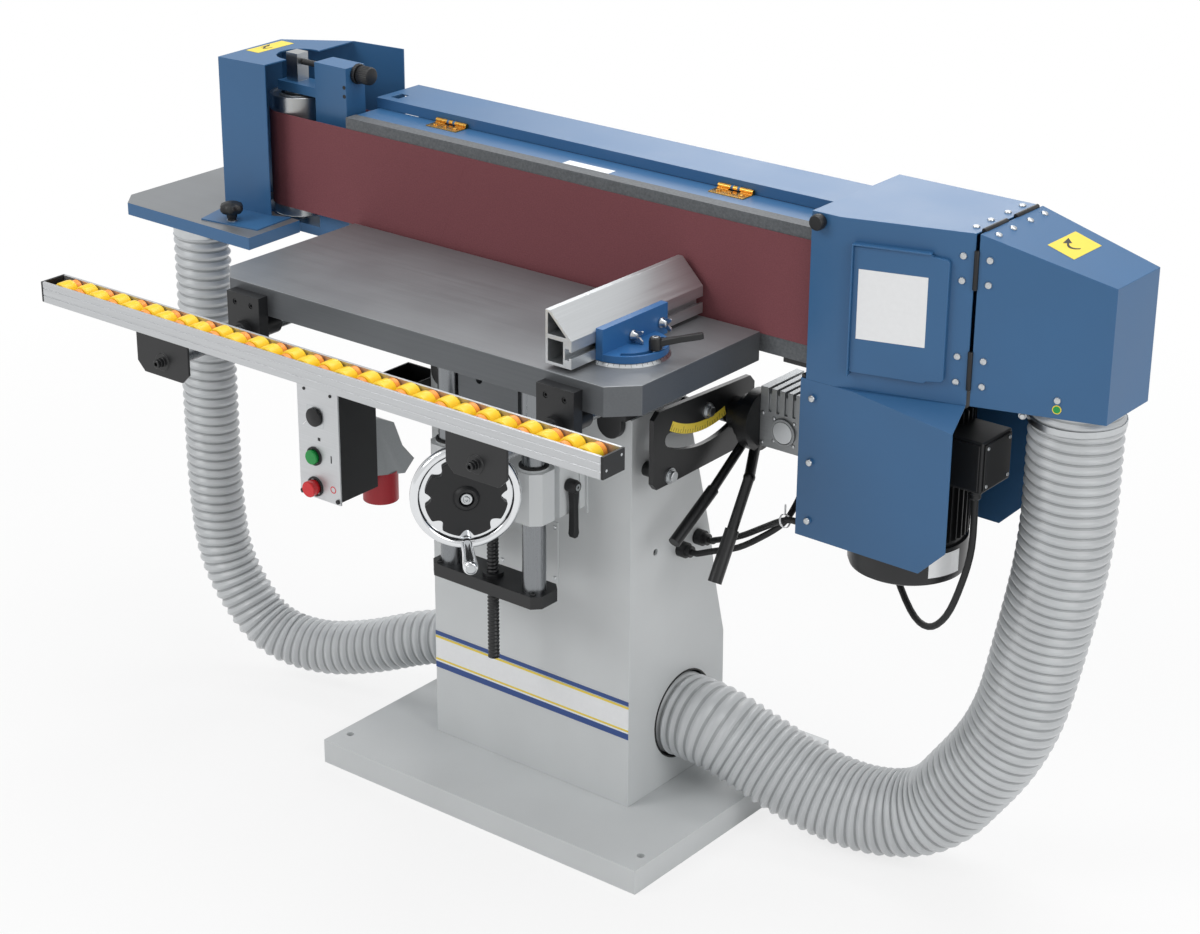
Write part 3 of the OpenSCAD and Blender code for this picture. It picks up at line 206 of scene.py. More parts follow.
def ground_cast_iron(name, code, roughness):
    """Grey iron ground flat: a dull metal with marks along the grinder's way and oily clouds."""
    material, place = new_surface(name, Metallic=0.65, Roughness=roughness)
    # Grinding marks are drawn 2.4 mm apart, and the clouds are about 110 mm across
    lined = add_node(material, "ShaderNodeMapping", {"Scale": (5.0, 420.0, 420.0)}, {"Vector": place})
    marks = add_node(material, "ShaderNodeTexNoise", {"Scale": 1.0, "Detail": 3.0},
                     {"Vector": lined.outputs["Vector"]})
    cloud = add_node(material, "ShaderNodeTexNoise", {"Scale": 9.0, "Detail": 4.0}, {"Vector": place})
    both = add_node(material, "ShaderNodeMix", {"data_type": "FLOAT", 0: 0.45},
                    {2: marks.outputs[0], 3: cloud.outputs[0]})
    return patterned(material, code, both, (0.78, 1.24), marks, 0.05, 0.2,
                     (roughness - 0.1, roughness + 0.12))


def moulded_plastic(name, code, roughness=0.45, grain=500.0, strength=0.12, spread=0.1):
    """Injection-moulded ABS or nylon: deep colour under a fine spark-eroded grain."""
    material, place = new_surface(name, Roughness=roughness, IOR=1.46)
    # Grain is about 0.3 mm, drawn 2 mm or more so that it shows
    grains = add_node(material, "ShaderNodeTexNoise", {"Scale": grain, "Detail": 2.0}, {"Vector": place})
    return patterned(material, code, grains, (1 - spread, 1 + spread), grains, strength, 0.3)


def emery_cloth(name, code):
    """Aluminium-oxide grit in resin on cloth: dull, with grains that catch the light."""
    material, place = new_surface(name, Roughness=0.82)
    # Grit is about 0.3 mm, drawn 1.2 mm so that it shows, with a tone over 2.4 mm
    grit = add_node(material, "ShaderNodeTexVoronoi", {"Scale": 800.0}, {"Vector": place})
    cloud = add_node(material, "ShaderNodeTexNoise", {"Scale": 420.0, "Detail": 4.0, "Roughness": 0.7},
                     {"Vector": place})
    return patterned(material, code, cloud, (0.72, 1.28), grit, 0.35, 0.6)


def speckled_graphite(name, code):
    """Graphite-coated canvas on the platen: dark grey with a coarse woven speckle."""
    material, place = new_surface(name, Roughness=0.6, Metallic=0.2)
    # Canvas threads are about 1 mm apart, drawn 3.3 mm so that they show
    speckle = add_node(material, "ShaderNodeTexNoise", {"Scale": 300.0, "Detail": 3.0}, {"Vector": place})
    return patterned(material, code, speckle, (0.55, 1.5), speckle, 0.3, 0.5)


def hose_skin(name, code):
    """Polyurethane film over a wire spiral: milky grey, wet-looking crests, with a darker copy as painted shade in
    the grooves.
    """
    material, place = new_surface(name, Roughness=0.34, IOR=1.5, Coat_Weight=0.15, Coat_Roughness=0.2)
    # Dust lies in clouds of about 70 mm, and the film wrinkles every 9 mm
    cloud = add_node(material, "ShaderNodeTexNoise", {"Scale": 14.0, "Detail": 5.0}, {"Vector": place})
    wrinkle = add_node(material, "ShaderNodeTexNoise", {"Scale": 110.0, "Detail": 3.0}, {"Vector": place})
    return patterned(material, code, cloud, (0.85, 1.1), wrinkle, 0.12, 0.8, (0.26, 0.44))


def make_materials():
    """Makes every finish of the machine, by name."""
    c = bpy.context.scene.sander_colours
    finishes.update({
        "blue": powder_coat("blue_powder_coat", c.blue),
        "grey": powder_coat("light_grey_powder_coat", c.light_grey, 0.42),
        "black": powder_coat("black_powder_coat", c.black, 0.36),
        "cast_blue": powder_coat("hammered_blue_enamel", c.cast_blue, 0.34),
        "iron_top": ground_cast_iron("ground_cast_iron", "#8C8F92", 0.4),
        "iron": ground_cast_iron("milled_cast_iron", "#64676A", 0.42),
        "cast_aluminium": ground_cast_iron("die_cast_aluminium", "#A6A9AB", 0.46),
        # Turned all round, so its lines run round Z
        "steel": drawn_metal("turned_steel", "#B9BCBE", 0.3, (3.0, 3.0, 900.0), contrast=0.06),
        # Ground along its length
        "bright": drawn_metal("ground_steel", "#85888B", 0.27, (260.0, 260.0, 9.0)),
        "zinc": drawn_metal("zinc_plated_steel", "#C3C6C8", 0.3, (90.0, 90.0, 90.0)),
        "chrome": drawn_metal("polished_chrome", "#E2E4E6", 0.12, (30.0, 30.0, 30.0), contrast=0.04),
        "brass": drawn_metal("polished_brass", "#C99A4B", 0.25, (200.0, 40.0, 200.0)),
        # Extrusion lines run along the fence (Y) and along the rail (X)
        "fence_aluminium": drawn_metal("extruded_aluminium_fence", "#C9CCCE", 0.36, (420.0, 4.0, 420.0), 0.9),
        "rail_aluminium": drawn_metal("anodised_aluminium_rail", "#C4C6C8", 0.38, (4.0, 420.0, 420.0), 0.85),
        "panel_aluminium": drawn_metal("brushed_aluminium_panel", "#CFD1D3", 0.42, (4.0, 300.0, 500.0), 0.7),
        "abs": moulded_plastic("black_abs", "#151618"),
        "grey_abs": moulded_plastic("grey_abs", "#A9ADAF", 0.4),
        "red_abs": moulded_plastic("red_nylon", "#B5202C", 0.35),
        "red": moulded_plastic("red_acrylic_button", "#E0262E", 0.22, 200.0, 0.03),
        "green": moulded_plastic("green_acrylic_button", "#159A46", 0.22, 200.0, 0.03),
        "rubber": moulded_plastic("black_rubber_sheath", "#161718", 0.55, 400.0, 0.1),
        "roller": moulded_plastic("yellow_polyamide", c.roller, 0.3, 300.0, 0.05),
        # An orange copy of the roller plastic, painted shade for the hubs between the rollers
        "roller_hub_painted_shade": moulded_plastic("orange_polyamide_painted_shade", "#F59A3C", 0.35, 300.0, 0.05),
        "white_vinyl": moulded_plastic("white_vinyl_plate", "#F2F3F4", 0.4, 150.0, 0.02, 0.03),
        "yellow_vinyl": moulded_plastic("yellow_vinyl_plate", "#F2D84B", 0.4, 150.0, 0.02, 0.03),
        "blue_vinyl": moulded_plastic("blue_vinyl_stripe", "#2D4C8C", 0.4, 150.0, 0.02, 0.03),
        "dark_print": moulded_plastic("black_screen_print", "#222326", 0.5, 150.0, 0.02),
        "belt": emery_cloth("emery_cloth", c.belt),
        "graphite": speckled_graphite("graphite_canvas", "#5E6164"),
        "hose": hose_skin("polyurethane_hose", c.hose),
        # A darker copy of the hose film, painted shade for the grooves
        "hose_groove_painted_shade": hose_skin("polyurethane_hose_groove", "#A6A9AB"),
    })


# ---- mesh tools ----
def oblong(x0, y0, x1, y1):
    """The corners of an oblong, as an outline or as the section of a ring."""
    return [(x0, y0), (x1, y0), (x1, y1), (x0, y1)]


def heading(angle):
    """The level direction at an angle from RIGHT."""
    return Vector((math.cos(angle), math.sin(angle), 0))


def beside(way):
    """The level direction a quarter turn on from another."""
    return Vector((-way.y, way.x, 0))


class Shape:
    """A mesh put together from turned, sawn and bent pieces, with points in millimetres."""

    def __init__(self):
        self.mesh = bmesh.new()
        self.finish = 0

    def point(self, place):
        """Adds one point."""
        return self.mesh.verts.new(Vector(place) * MM)

    def face(self, corners):
        """Adds a face in the present finish, if its corners are more than a line."""
        kept = []
        for corner in corners:
            if corner not in kept:
                kept.append(corner)
        if len(kept) > 2:
            made = self.mesh.faces.new(kept)
            made.material_index = self.finish

    def ring(self, centre, u, v, sides, reach):
        """Points round a centre in the plane of u and v, as far out as reach says for each angle."""
        angles = [TURN * k / sides for k in range(sides)]
        return [self.point(centre + (u * math.cos(a) + v * math.sin(a)) * reach(a)) for a in angles]

    def wall(self, low, high):
        """Faces between two rings of points."""
        for k in range(len(low)):
            j = (k + 1) % len(low)
            self.face([low[k], low[j], high[j], high[k]])

    def slab(self, outline, origin, across, up, depth):
        """An outline in the plane of across and up, made depth thick along their cross product."""
        across, up, origin = Vector(across).normalized(), Vector(up).normalized(), Vector(origin)
        away = across.cross(up) * depth
        near = [self.point(origin + across * a + up * b) for a, b in outline]
        far = [self.point(origin + across * a + up * b + away) for a, b in outline]
        self.face(reversed(near))
        self.face(far)
        self.wall(near, far)
        return self

    def block(self, low, high):
        """A block between two corners."""
        (x0, y0, z0), (x1, y1, z1) = low, high
        return self.slab(oblong(x0, y0, x1, y1), (0, 0, z0), RIGHT, BACK, z1 - z0)

    def turned(self, profile, origin, axis, sides, closed=False, warp=None):
        """A profile of (radius, height) turned round an axis; closed joins its last point to its first."""
        axis, origin = Vector(axis).normalized(), Vector(origin)
        u = axis.orthogonal().normalized()
        v = axis.cross(u)
        rings = []
        for radius, height in profile:
            centre = origin + axis * height
            if radius < 1e-6:
                rings.append([self.point(centre)] * sides)
            else:
                rings.append(self.ring(centre, u, v, sides,
                                       lambda angle: radius + (warp(angle, height) if warp else 0.0)))
        for low, high in zip(rings, rings[1:] + (rings[:1] if closed else [])):
            self.wall(low, high)
        if not closed:
            self.face(reversed(rings[0]))
            self.face(rings[-1])
        return self

    def pin(self, origin, axis, radius, length, chamfer=0.4, sides=32):
        """A round pin with chamfered ends."""
        return self.turned([(radius - chamfer, 0), (radius, chamfer), (radius, length - chamfer),
                            (radius - chamfer, length)], origin, axis, sides)

    def button_head(self, origin, axis, radius):
        """A domed socket-head screw with its hexagon recess."""
        self.turned([(k * radius, h * radius) for k, h in ((1, 0), (1, 0.15), (0.85, 0.42), (0.5, 0.58))],
                    origin, axis, 20)
        return self.turned(
            [(k * radius, h * radius) for k, h in ((0.46, 0), (0.46, 0.62), (0.4, 0.62), (0.4, 0.25))],
            Vector(origin) + Vector(axis).normalized() * 0.02, axis, 6)

    def hexagon_head(self, origin, axis, radius, height):
        """A hexagon bolt head on its washer."""
        washer = 1.4
        self.turned([(radius * 1.25, 0), (radius * 1.25, washer)], origin, axis, 24)
        return self.turned([(radius, washer), (radius, height), (radius * 0.85, height + 0.8)],
                           origin, axis, 6)

    def swept(self, way, radius, sides):
        """A round bar or cable along a way of points."""
        u = UP
        rings = []
        for i, p in enumerate(way):
            before = p - way[i - 1] if i else way[1] - p
            after = way[i + 1] - p if i < len(way) - 1 else before
            along = (before.normalized() + after.normalized()).normalized()
            u = (u - along * u.dot(along)).normalized()
            rings.append(self.ring(p, u, along.cross(u), sides, lambda angle: radius))
        for low, high in zip(rings, rings[1:]):
            self.wall(low, high)
        self.face(reversed(rings[0]))
        self.face(rings[-1])
        return self

    def done(self, name, body, looks, stands_for=(), edge=0.0, ride=True):
        """Closes the mesh as a named piece on a body; edge rounds its corners by that many millimetres."""
        bmesh.ops.recalc_face_normals(self.mesh, faces=self.mesh.faces)
        return finish_piece(self.mesh, name, body, looks, stands_for, edge, ride)


def finish_piece(mesh, name, body, looks, stands_for, edge, ride=True):
    """Smooths a mesh between its sharp edges and puts it on its body."""
    for one in mesh.faces:
        one.smooth = True
    for one in mesh.edges:
        if len(one.link_faces) != 2 or one.calc_face_angle(0.0) > math.radians(34):
            one.smooth = False
    data = bpy.data.meshes.new(name)
    mesh.to_mesh(data)
    mesh.free()
    piece = bpy.data.objects.new(name, data)
    bpy.context.scene.collection.objects.link(piece)
    for look in looks:
        data.materials.append(finishes[look])
    if edge:
        rounding = piece.modifiers.new("edges", "BEVEL")
        rounding.width = edge * MM
        rounding.segments = 2
        rounding.limit_method = "ANGLE"
        rounding.angle_limit = math.radians(40)
        rounding.harden_normals = True
    if ride:
        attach(piece, body)
    if stands_for:
        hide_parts(*stands_for)
    return piece


def dress(node, looks, edge=0.0, pick=None):
    """A node's own shape with rounded edges; pick gives a face's finish from its centre and normal."""
    mesh = bmesh.new()
    mesh.from_mesh(frame["nodes"][node].data)
    bmesh.ops.remove_doubles(mesh, verts=mesh.verts, dist=2e-6)
    bmesh.ops.dissolve_limit(mesh, angle_limit=math.radians(0.4), verts=mesh.verts, edges=mesh.edges)
    for one in mesh.faces:
        one.material_index = pick(one.calc_center_median() / MM, one.normal) if pick else 0
    return finish_piece(mesh, node + "_dressed", body_of_node[node], looks, (node,), edge)


def paint_node(node, look):
    """Gives a node that keeps its mesh a finish."""
    piece = frame["nodes"][node]
    piece.data.materials.clear()
    piece.data.materials.append(finishes[look])


def screw_heads(name, body, look, places, axis, radius):
    """Button-head screws of one size, as one piece."""
    heads = Shape()
    for place in places:
        heads.button_head(place, axis, radius)
    heads.done(name, body, [look])


# ---- routes of the hoses and leads, as the source has them ----
def rounded(points, straight, steps=6):
    """Bends a way of points at its corners, with straight ends."""
    p = [Vector(x) for x in points]
    last = len(p) - 1

    def leg(i, j):
        length = (p[j] - p[i]).length
        return length - straight if min(i, j) == 0 or max(i, j) == last else length / 2

    way = [p[0]]
    for i in range(1, last):
        reach = min(leg(i - 1, i), leg(i, i + 1))
        a = p[i] + (p[i - 1] - p[i]).normalized() * reach
        b = p[i] + (p[i + 1] - p[i]).normalized() * reach
        for k in range(steps + 1):
            t = k / steps
            way.append(a * (1 - t) ** 2 + p[i] * 2 * t * (1 - t) + b * t * t)
    return way + [p[last]]


LEFT_HOSE = rounded([
    (-680, -108.5, 766), (-680, -108.5, 320), (-668, -105, 190), (-590, -86, 82), (-500, -62, 66),
    (-400, -36, 90), (-310, -10, 128), (-228, 16.5, 145), (-60, 16.5, 145)], 90)
RIGHT_HOSE = rounded([
    (768, 112, 770), (768, 112, 560), (742, 112, 410), (712, 107, 250), (600, 90, 88), (500, 71, 62),
    (400, 55, 78), (310, 38, 116), (250, 20.5, 145), (60, 20.5, 145)], 132)
UPPER_LEAD = [
    (426, -28.5, 546), (408, -28.5, 546), (386, -24, 536), (340, 2, 504), (290, 22, 470), (250, 34, 449),
    (225, 44, 436), (221, 47.4, 432), (213, 47.4, 432)]
LOWER_LEAD = [
    (360, 84, 598), (360, 84, 584), (370, 58, 556), (376, 24, 534), (372, 4, 518), (340, 2, 490),
    (290, 14, 454), (250, 10, 438), (225, 6, 428), (221, 5.3, 427), (213, 5.3, 427)]
MOTOR_LEAD = [
    (669, 26.5, 632), (669, 26.5, 560), (655, 30, 500), (626, 44, 436), (585, 66, 398), (540, 90, 402),
    (480, 130, 450), (452, 148, 520), (448, 150, 590), (444, 150, 610), (432, 150, 610)]


def smoothed(points, steps=4):
    """A curve through the points, with its ends kept."""
    p = [Vector(x) for x in points]
    way = []
    for i in range(len(p) - 1):
        a, b, c, d = p[max(i - 1, 0)], p[i], p[i + 1], p[min(i + 2, len(p) - 1)]
        for k in range(steps):
            t = k / steps
            way.append(0.5 * ((2 * b) + (c - a) * t + (2 * a - 5 * b + 4 * c - d) * t * t
                              + (3 * b - a - 3 * c + d) * t ** 3))
    return way + [p[-1]]


def distances(way):
    """How far each point of a way is from its start, along the way."""
    return list(accumulate(((b - a).length for a, b in zip(way, way[1:])), initial=0.0))


def ribbed_hose(name, way, radius, pitch, node):
    """A hose with a spiral rib outside and a plain bore, from its upper end down into the column."""
    sides = bpy.context.scene.sander_sizes.hose_sides
    per_turn = 8
    wall, groove = 6.6, 5.0
    lengths = distances(way)
    count = round(lengths[-1] / pitch) * per_turn
    shape = Shape()
    inner, stations = [], []
    u = RIGHT
    seg = 0
    for i in range(count + 1):
        s = lengths[-1] * i / count
        while seg < len(way) - 2 and lengths[seg + 1] < s:
            seg += 1
        a, b = way[seg], way[seg + 1]
        t = (s - lengths[seg]) / max(lengths[seg + 1] - lengths[seg], 1e-9)
        centre = a.lerp(b, t)
        here = (b - a).normalized()
        ahead = (way[seg + 2] - b).normalized() if seg < len(way) - 2 else here
        behind = (a - way[seg - 1]).normalized() if seg else here
        along = (behind.lerp(here, min(1, 0.5 + t)) if t < 0.5 else here.lerp(ahead, t - 0.5)).normalized()
        u = (u - along * u.dot(along)).normalized()
        v = along.cross(u)
        stations.append((centre, u, v))
        if i % per_turn == 0:
            inner.append(shape.ring(centre, u, v, sides, lambda angle: radius - wall))

    def on_skin(i, k):
        """A point of the outer skin; each row of points climbs one pitch a turn, as the wire does."""
        x = min(max(i - per_turn * k / sides, 0.0), float(count))
        near, far = stations[int(x)], stations[min(int(x) + 1, count)]
        centre, one, two = (p.lerp(q, x - int(x)) for p, q in zip(near, far))
        angle = TURN * k / sides
        wave = 0.5 + 0.5 * math.cos(TURN * i / per_turn)
        # The rib runs out level at both ends
        end = min(1.0, x / 4, (count - x) / 4)
        out = radius - 0.3 - groove * (1 - wave ** 0.8) * end
        return centre + (one * math.cos(angle) + two * math.sin(angle)) * out

    first, last = ([shape.point(on_skin(i, k)) for k in range(sides)] for i in (0, count + per_turn))
    skin = {}
    for i in range(count + per_turn + 1):
        for k in range(sides):
            x = i - per_turn * k / sides
            skin[i, k] = first[k] if x <= 0 else last[k] if x >= count else shape.point(on_skin(i, k))
    for i in range(count + per_turn):
        # The groove between two turns of the wire gets the darker grey as painted shade
        shape.finish = 1 if 0.36 < (i + 0.5) / per_turn % 1.0 < 0.64 else 0
        for k in range(sides - 1):
            shape.face([skin[i, k], skin[i, k + 1], skin[i + 1, k + 1], skin[i + 1, k]])
        # The last face meets the row one turn back
        low, high = (skin[max(row - per_turn, 0), 0] for row in (i, i + 1))
        shape.face([skin[i, sides - 1], low, high, skin[i + 1, sides - 1]])
    shape.finish = 0
    for one, two in [*zip(inner, inner[1:]), (first, inner[0]), (last, inner[-1])]:
        shape.wall(one, two)
    piece = shape.done(name, None, ["hose", "hose_groove_painted_shade"], (node,), ride=False)
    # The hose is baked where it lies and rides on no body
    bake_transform(piece)


# ---- operators ----
class SANDER_OT_materials(bpy.types.Operator):
    """Make the finishes of the machine"""

    bl_idname = "sander.materials"
    bl_label = "Finishes"

    def execute(self, context):
        make_materials()
        return {"FINISHED"}


class SANDER_OT_stage(bpy.types.Operator):
    """Add the camera, the lamps and the white floor"""

    bl_idname = "sander.stage"
    bl_label = "Studio"

    def execute(self, context):
        scene = context.scene
        # The camera's place in metres, angles in radians and focal length in pixels of the photograph
        place, (yaw, pitch, roll) = (2.300, -2.8603, 2.0695), (-0.668, -0.4022, 0.0068)
        focal_pixels, photo_width = 2643.5, 1200
        ahead = Vector((math.sin(yaw) * math.cos(pitch), math.cos(yaw) * math.cos(pitch), math.sin(pitch)))
        right = Vector((math.cos(yaw), -math.sin(yaw), 0.0))
        up = right.cross(ahead)
        across = right * math.cos(roll) + up * math.sin(roll)
        above = up * math.cos(roll) - right * math.sin(roll)
        camera = bpy.data.objects.new("camera", bpy.data.cameras.new("camera"))
        turn = Matrix((across, above, -ahead)).transposed().to_4x4()
        camera.matrix_world = Matrix.Translation(place) @ turn
        camera.data.sensor_width = 36.0
        camera.data.lens = camera.data.sensor_width * focal_pixels / photo_width
        camera.data.clip_end = 60.0
        scene.collection.objects.link(camera)
        scene.camera = camera

        # White floor that keeps the shadow under the machine, and shows white in the metal
        floor = Shape().slab(oblong(-9000, -9000, 9000, 9000), (0, 0, -12), RIGHT, BACK, 11.8)
        material, place = new_surface("white_paper_floor", Base_Color=(0.86, 0.86, 0.86, 1), Roughness=0.9)
        tree = material.node_tree
        glow = add_node(material, "ShaderNodeEmission", {"Color": (1, 1, 1, 1), "Strength": 1.0})
        rays = add_node(material, "ShaderNodeLightPath")
        seen = add_node(material, "ShaderNodeMath", {"operation": "MAXIMUM"},
                        {0: rays.outputs["Is Camera Ray"], 1: rays.outputs["Is Glossy Ray"]})
        # The shadow shows near the machine, and the paper is plain white from 2.4 m on
        reach = add_node(material, "ShaderNodeVectorMath", {"operation": "LENGTH"}, {0: place})
        fade = add_node(material, "ShaderNodeMapRange",
                        {"From Min": 1.0, "From Max": 2.4, "To Min": 0.78, "To Max": 1.0},
                        {"Value": reach.outputs["Value"]})
        part = add_node(material, "ShaderNodeMath", {"operation": "MULTIPLY"},
                        {0: seen.outputs[0], 1: fade.outputs[0]})
        mix = add_node(material, "ShaderNodeMixShader", {}, {
            0: part.outputs[0], 1: tree.nodes["Principled BSDF"].outputs[0], 2: glow.outputs[0]})
        tree.links.new(mix.outputs[0], tree.nodes["Material Output"].inputs["Surface"])
        finishes["floor"] = material
        floor.done("floor", None, ["floor"], ride=False)

        world = bpy.data.worlds.new("studio")
        world.use_nodes = True
        scene.world = world
        back = world.node_tree.nodes["Background"]
        back.inputs["Color"].default_value = (1, 1, 1, 1)
        # The fill is 0.42, metal and gloss mirror 0.8, and the camera sees plain white
        rays = add_node(world, "ShaderNodeLightPath")
        fill = add_node(world, "ShaderNodeMapRange", {"To Min": 0.42, "To Max": 0.8},
                        {"Value": rays.outputs["Is Glossy Ray"]})
        level = add_node(world, "ShaderNodeMix", {"data_type": "FLOAT", 3: 1.0},
                         {0: rays.outputs["Is Camera Ray"], 2: fill.outputs[0]})
        world.node_tree.links.new(level.outputs[0], back.inputs["Strength"])
        # The place and width of each lamp in metres, and its power in watts
        middle = Vector((0, 0, 0.7))
        for name, place, size, energy in (
                ("key_lamp", (-1.8, -3.2, 3.4), 2.4, 62.0), ("side_lamp", (3.6, -0.6, 2.2), 2.2, 34.0),
                ("top_lamp", (0.2, 0.6, 3.8), 2.8, 66.0), ("back_lamp", (-1.5, 3.2, 2.4), 2.2, 26.0)):
            lamp = bpy.data.objects.new(name, bpy.data.lights.new(name, "AREA"))
            lamp.data.shape = "DISK"
            lamp.data.size = size
            lamp.data.energy = energy
            lamp.location = place
            lamp.rotation_euler = (middle - Vector(place)).to_track_quat("-Z", "Y").to_euler()
            scene.collection.objects.link(lamp)
        scene.view_settings.view_transform = "Standard"
        return {"FINISHED"}


class SANDER_OT_leads(bpy.types.Operator):
    """Add the leads of the motor and of the controls"""

    bl_idname = "sander.leads"
    bl_label = "Leads"

    def execute(self, context):
        radius = context.scene.sander_sizes.cable_radius / MM
        for name, points, r, blended in (("control_lead_upper", UPPER_LEAD, radius, True),
                                         ("control_lead_lower", LOWER_LEAD, radius, True),
                                         ("motor_supply_lead", MOTOR_LEAD, 5.0, False)):
            way = smoothed(points)
            node = "control_cables" if blended else "motor_lead"
            piece = Shape().swept(way, r, 14).done(name, "head", ["rubber"], (node,), ride=not blended)
            if blended:
                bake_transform(piece)
        tie = Shape().turned(oblong(9.6, -1.6, 10.4, 1.6), (397, -26.5, 541), (0.9, -0.1, 0.4), 16, True)
        tie.block((396, -27.5, 550), (398, -25.5, 566)).done("cable_tie", "head", ["white_vinyl"])
        dress("cable_glands", ["abs"], 0.6)
        return {"FINISHED"}


class SANDER_OT_hoses(bpy.types.Operator):
    """Add both ribbed dust hoses with their clamps"""

    bl_idname = "sander.hoses"
    bl_label = "Dust hoses"

    def execute(self, context):
        sizes = context.scene.sander_sizes
        ribbed_hose("left_dust_hose", LEFT_HOSE, sizes.left_hose_radius / MM, sizes.left_hose_pitch / MM,
                    "left_hose")
        ribbed_hose("right_dust_hose", RIGHT_HOSE, sizes.right_hose_radius / MM, sizes.right_hose_pitch / MM,
                    "right_hose")
        dress("hose_collars", ["zinc"], 0.3)
        out = heading(math.radians(205))
        across = beside(out)
        at = Vector((768, 112, 750.5)) + out * 72
        screw = Shape().pin(at - across * 13, across, 2.6, 26, 0.4, 12)
        screw.hexagon_head(at + across * 12, across, 4.4, 5).done("hose_clamp_screw", "head", ["zinc"])
        dress("dust_duct", ["zinc"], 0.5)
        return {"FINISHED"}


class SANDER_OT_column(bpy.types.Operator):
    """Dress the base and the column with its cover plate and stripes"""

    bl_idname = "sander.column"
    bl_label = "Base and column"

    def execute(self, context):
        dress("base_plate", ["grey"], 1.6)
        dress("column", ["grey"], 2.0)
        plate_front = COLUMN_FRONT - 1.8
        plate = Shape().block((-57, plate_front, 372), (57, COLUMN_FRONT, 472))
        plate.done("cover_plate", "frame", ["grey"], edge=0.6)
        screw_heads("cover_plate_screws", "frame", "zinc",
                    [(x, plate_front, z) for x in (-51, 51) for z in (381, 463)], FRONT, 3.6)
        stripes = Shape()
        blue, yellow, white = range(3)
        for finish, low, high in ((blue, 211.5, 218), (yellow, 206.5, 209.5), (white, 165, 206.5),
                                  (yellow, 168, 171), (blue, 155, 165)):
            stripes.finish = finish
            deep = 0.5 if finish == white else 0.8
            stripes.block((-190.6, COLUMN_FRONT - deep, low), (190.6, COLUMN_FRONT, high))
        stripes.done("column_stripes", "frame", ["blue_vinyl", "yellow_vinyl", "white_vinyl"])
        seal = Shape()
        for place, out, r in (((191.0, 20.5, 145), RIGHT, 69.5), ((-191.0, 16.5, 145), -RIGHT, 48.5)):
            seal.turned(oblong(r - 1.0, -1.5, r + 1.6, 1.2), place, out, 64, True)
        seal.done("hose_grommets", "frame", ["rubber"], edge=0.4)
        return {"FINISHED"}


class SANDER_OT_lift(bpy.types.Operator):
    """Dress the guide block, the posts and the lift screw"""

    bl_idname = "sander.lift"
    bl_label = "Table lift"

    def execute(self, context):
        dress("guide_block", ["grey"], 1.6)
        rings, posts = Shape(), Shape()
        lipped = [(17.8, 0), (22, 0), (22, 2.2), (20.5, 3.4), (17.8, 3.4)]
        for x in (-POST_X, POST_X):
            rings.turned(lipped, (x, POST_Y, 597), UP, 48, True)
            posts.pin((x, POST_Y, 382), UP, 17.5, 385, 1.5, 64)
        rings.done("post_wipers", "frame", ["rubber"])
        posts.done("ground_posts", "table", ["bright"], ("guide_posts",))
        dress("bottom_bar", ["black"], 1.4)
        screw_heads("bottom_bar_screws", "table", "black",
                    [(x, POST_Y - 16, 402) for x in (-89.76, 89.76)], UP, 4.5)
        dress("crosshead", ["iron"], 1.5)

        pitch = context.scene.sander_sizes.thread_pitch / MM
        low, high = 266, 562
        threaded = high - low - 3

        def thread(angle, h):
            """How far the thread cuts in, at an angle and a height."""
            turns = h / pitch - angle / TURN
            return -1.5 * (0.5 - 0.5 * math.cos(TURN * turns)) if 2 < h < threaded else 0.0

        count = int((threaded + 1) / pitch * 5)
        rod = [(9.0, 1 + threaded * i / count) for i in range(count + 1)]
        screw = Shape().turned([(7.4, 0), *rod, (9.0, high - low)], (0, POST_Y, low), UP, 24, warp=thread)
        screw.pin((0, POST_Y, high), UP, 29.1, 20, 1.0, 48).pin((0, POST_Y, high + 20), UP, 9.0, 6, 0.5)
        screw.done("trapezoidal_screw", "screw", ["black"], ("lift_screw",))

        hub = Vector((106.3, -153.5, 560))
        lever = Shape().turned([(9.0, 0), (10.0, 1), (10.0, 13), (8.6, 17.6), (5.5, 18.3)], hub, RIGHT, 32)
        lever.slab([(-6, 4), (6, 4), (6.4, -10), (4.6, -30), (5.4, -66), (6.4, -74), (3.5, -80), (-3.5, -80),
                    (-6.4, -74), (-5.4, -66), (-4.6, -30), (-6.4, -10)], hub + RIGHT * 5.2, BACK, UP, 10.5)
        lever.done("post_clamp_lever", "post_lever", ["abs"], ("post_lock_lever",), 1.2)
        stud = Shape().pin(hub - RIGHT * 22, RIGHT, 5.0, 22.5, 0.5)
        stud.turned([(5.0, 17.6), (5.0, 18.7), (2.4, 18.9), (2.4, 17.9), (0, 17.9)], hub, RIGHT, 20)
        stud.done("post_clamp_stud", "post_lever", ["zinc"])
        return {"FINISHED"}


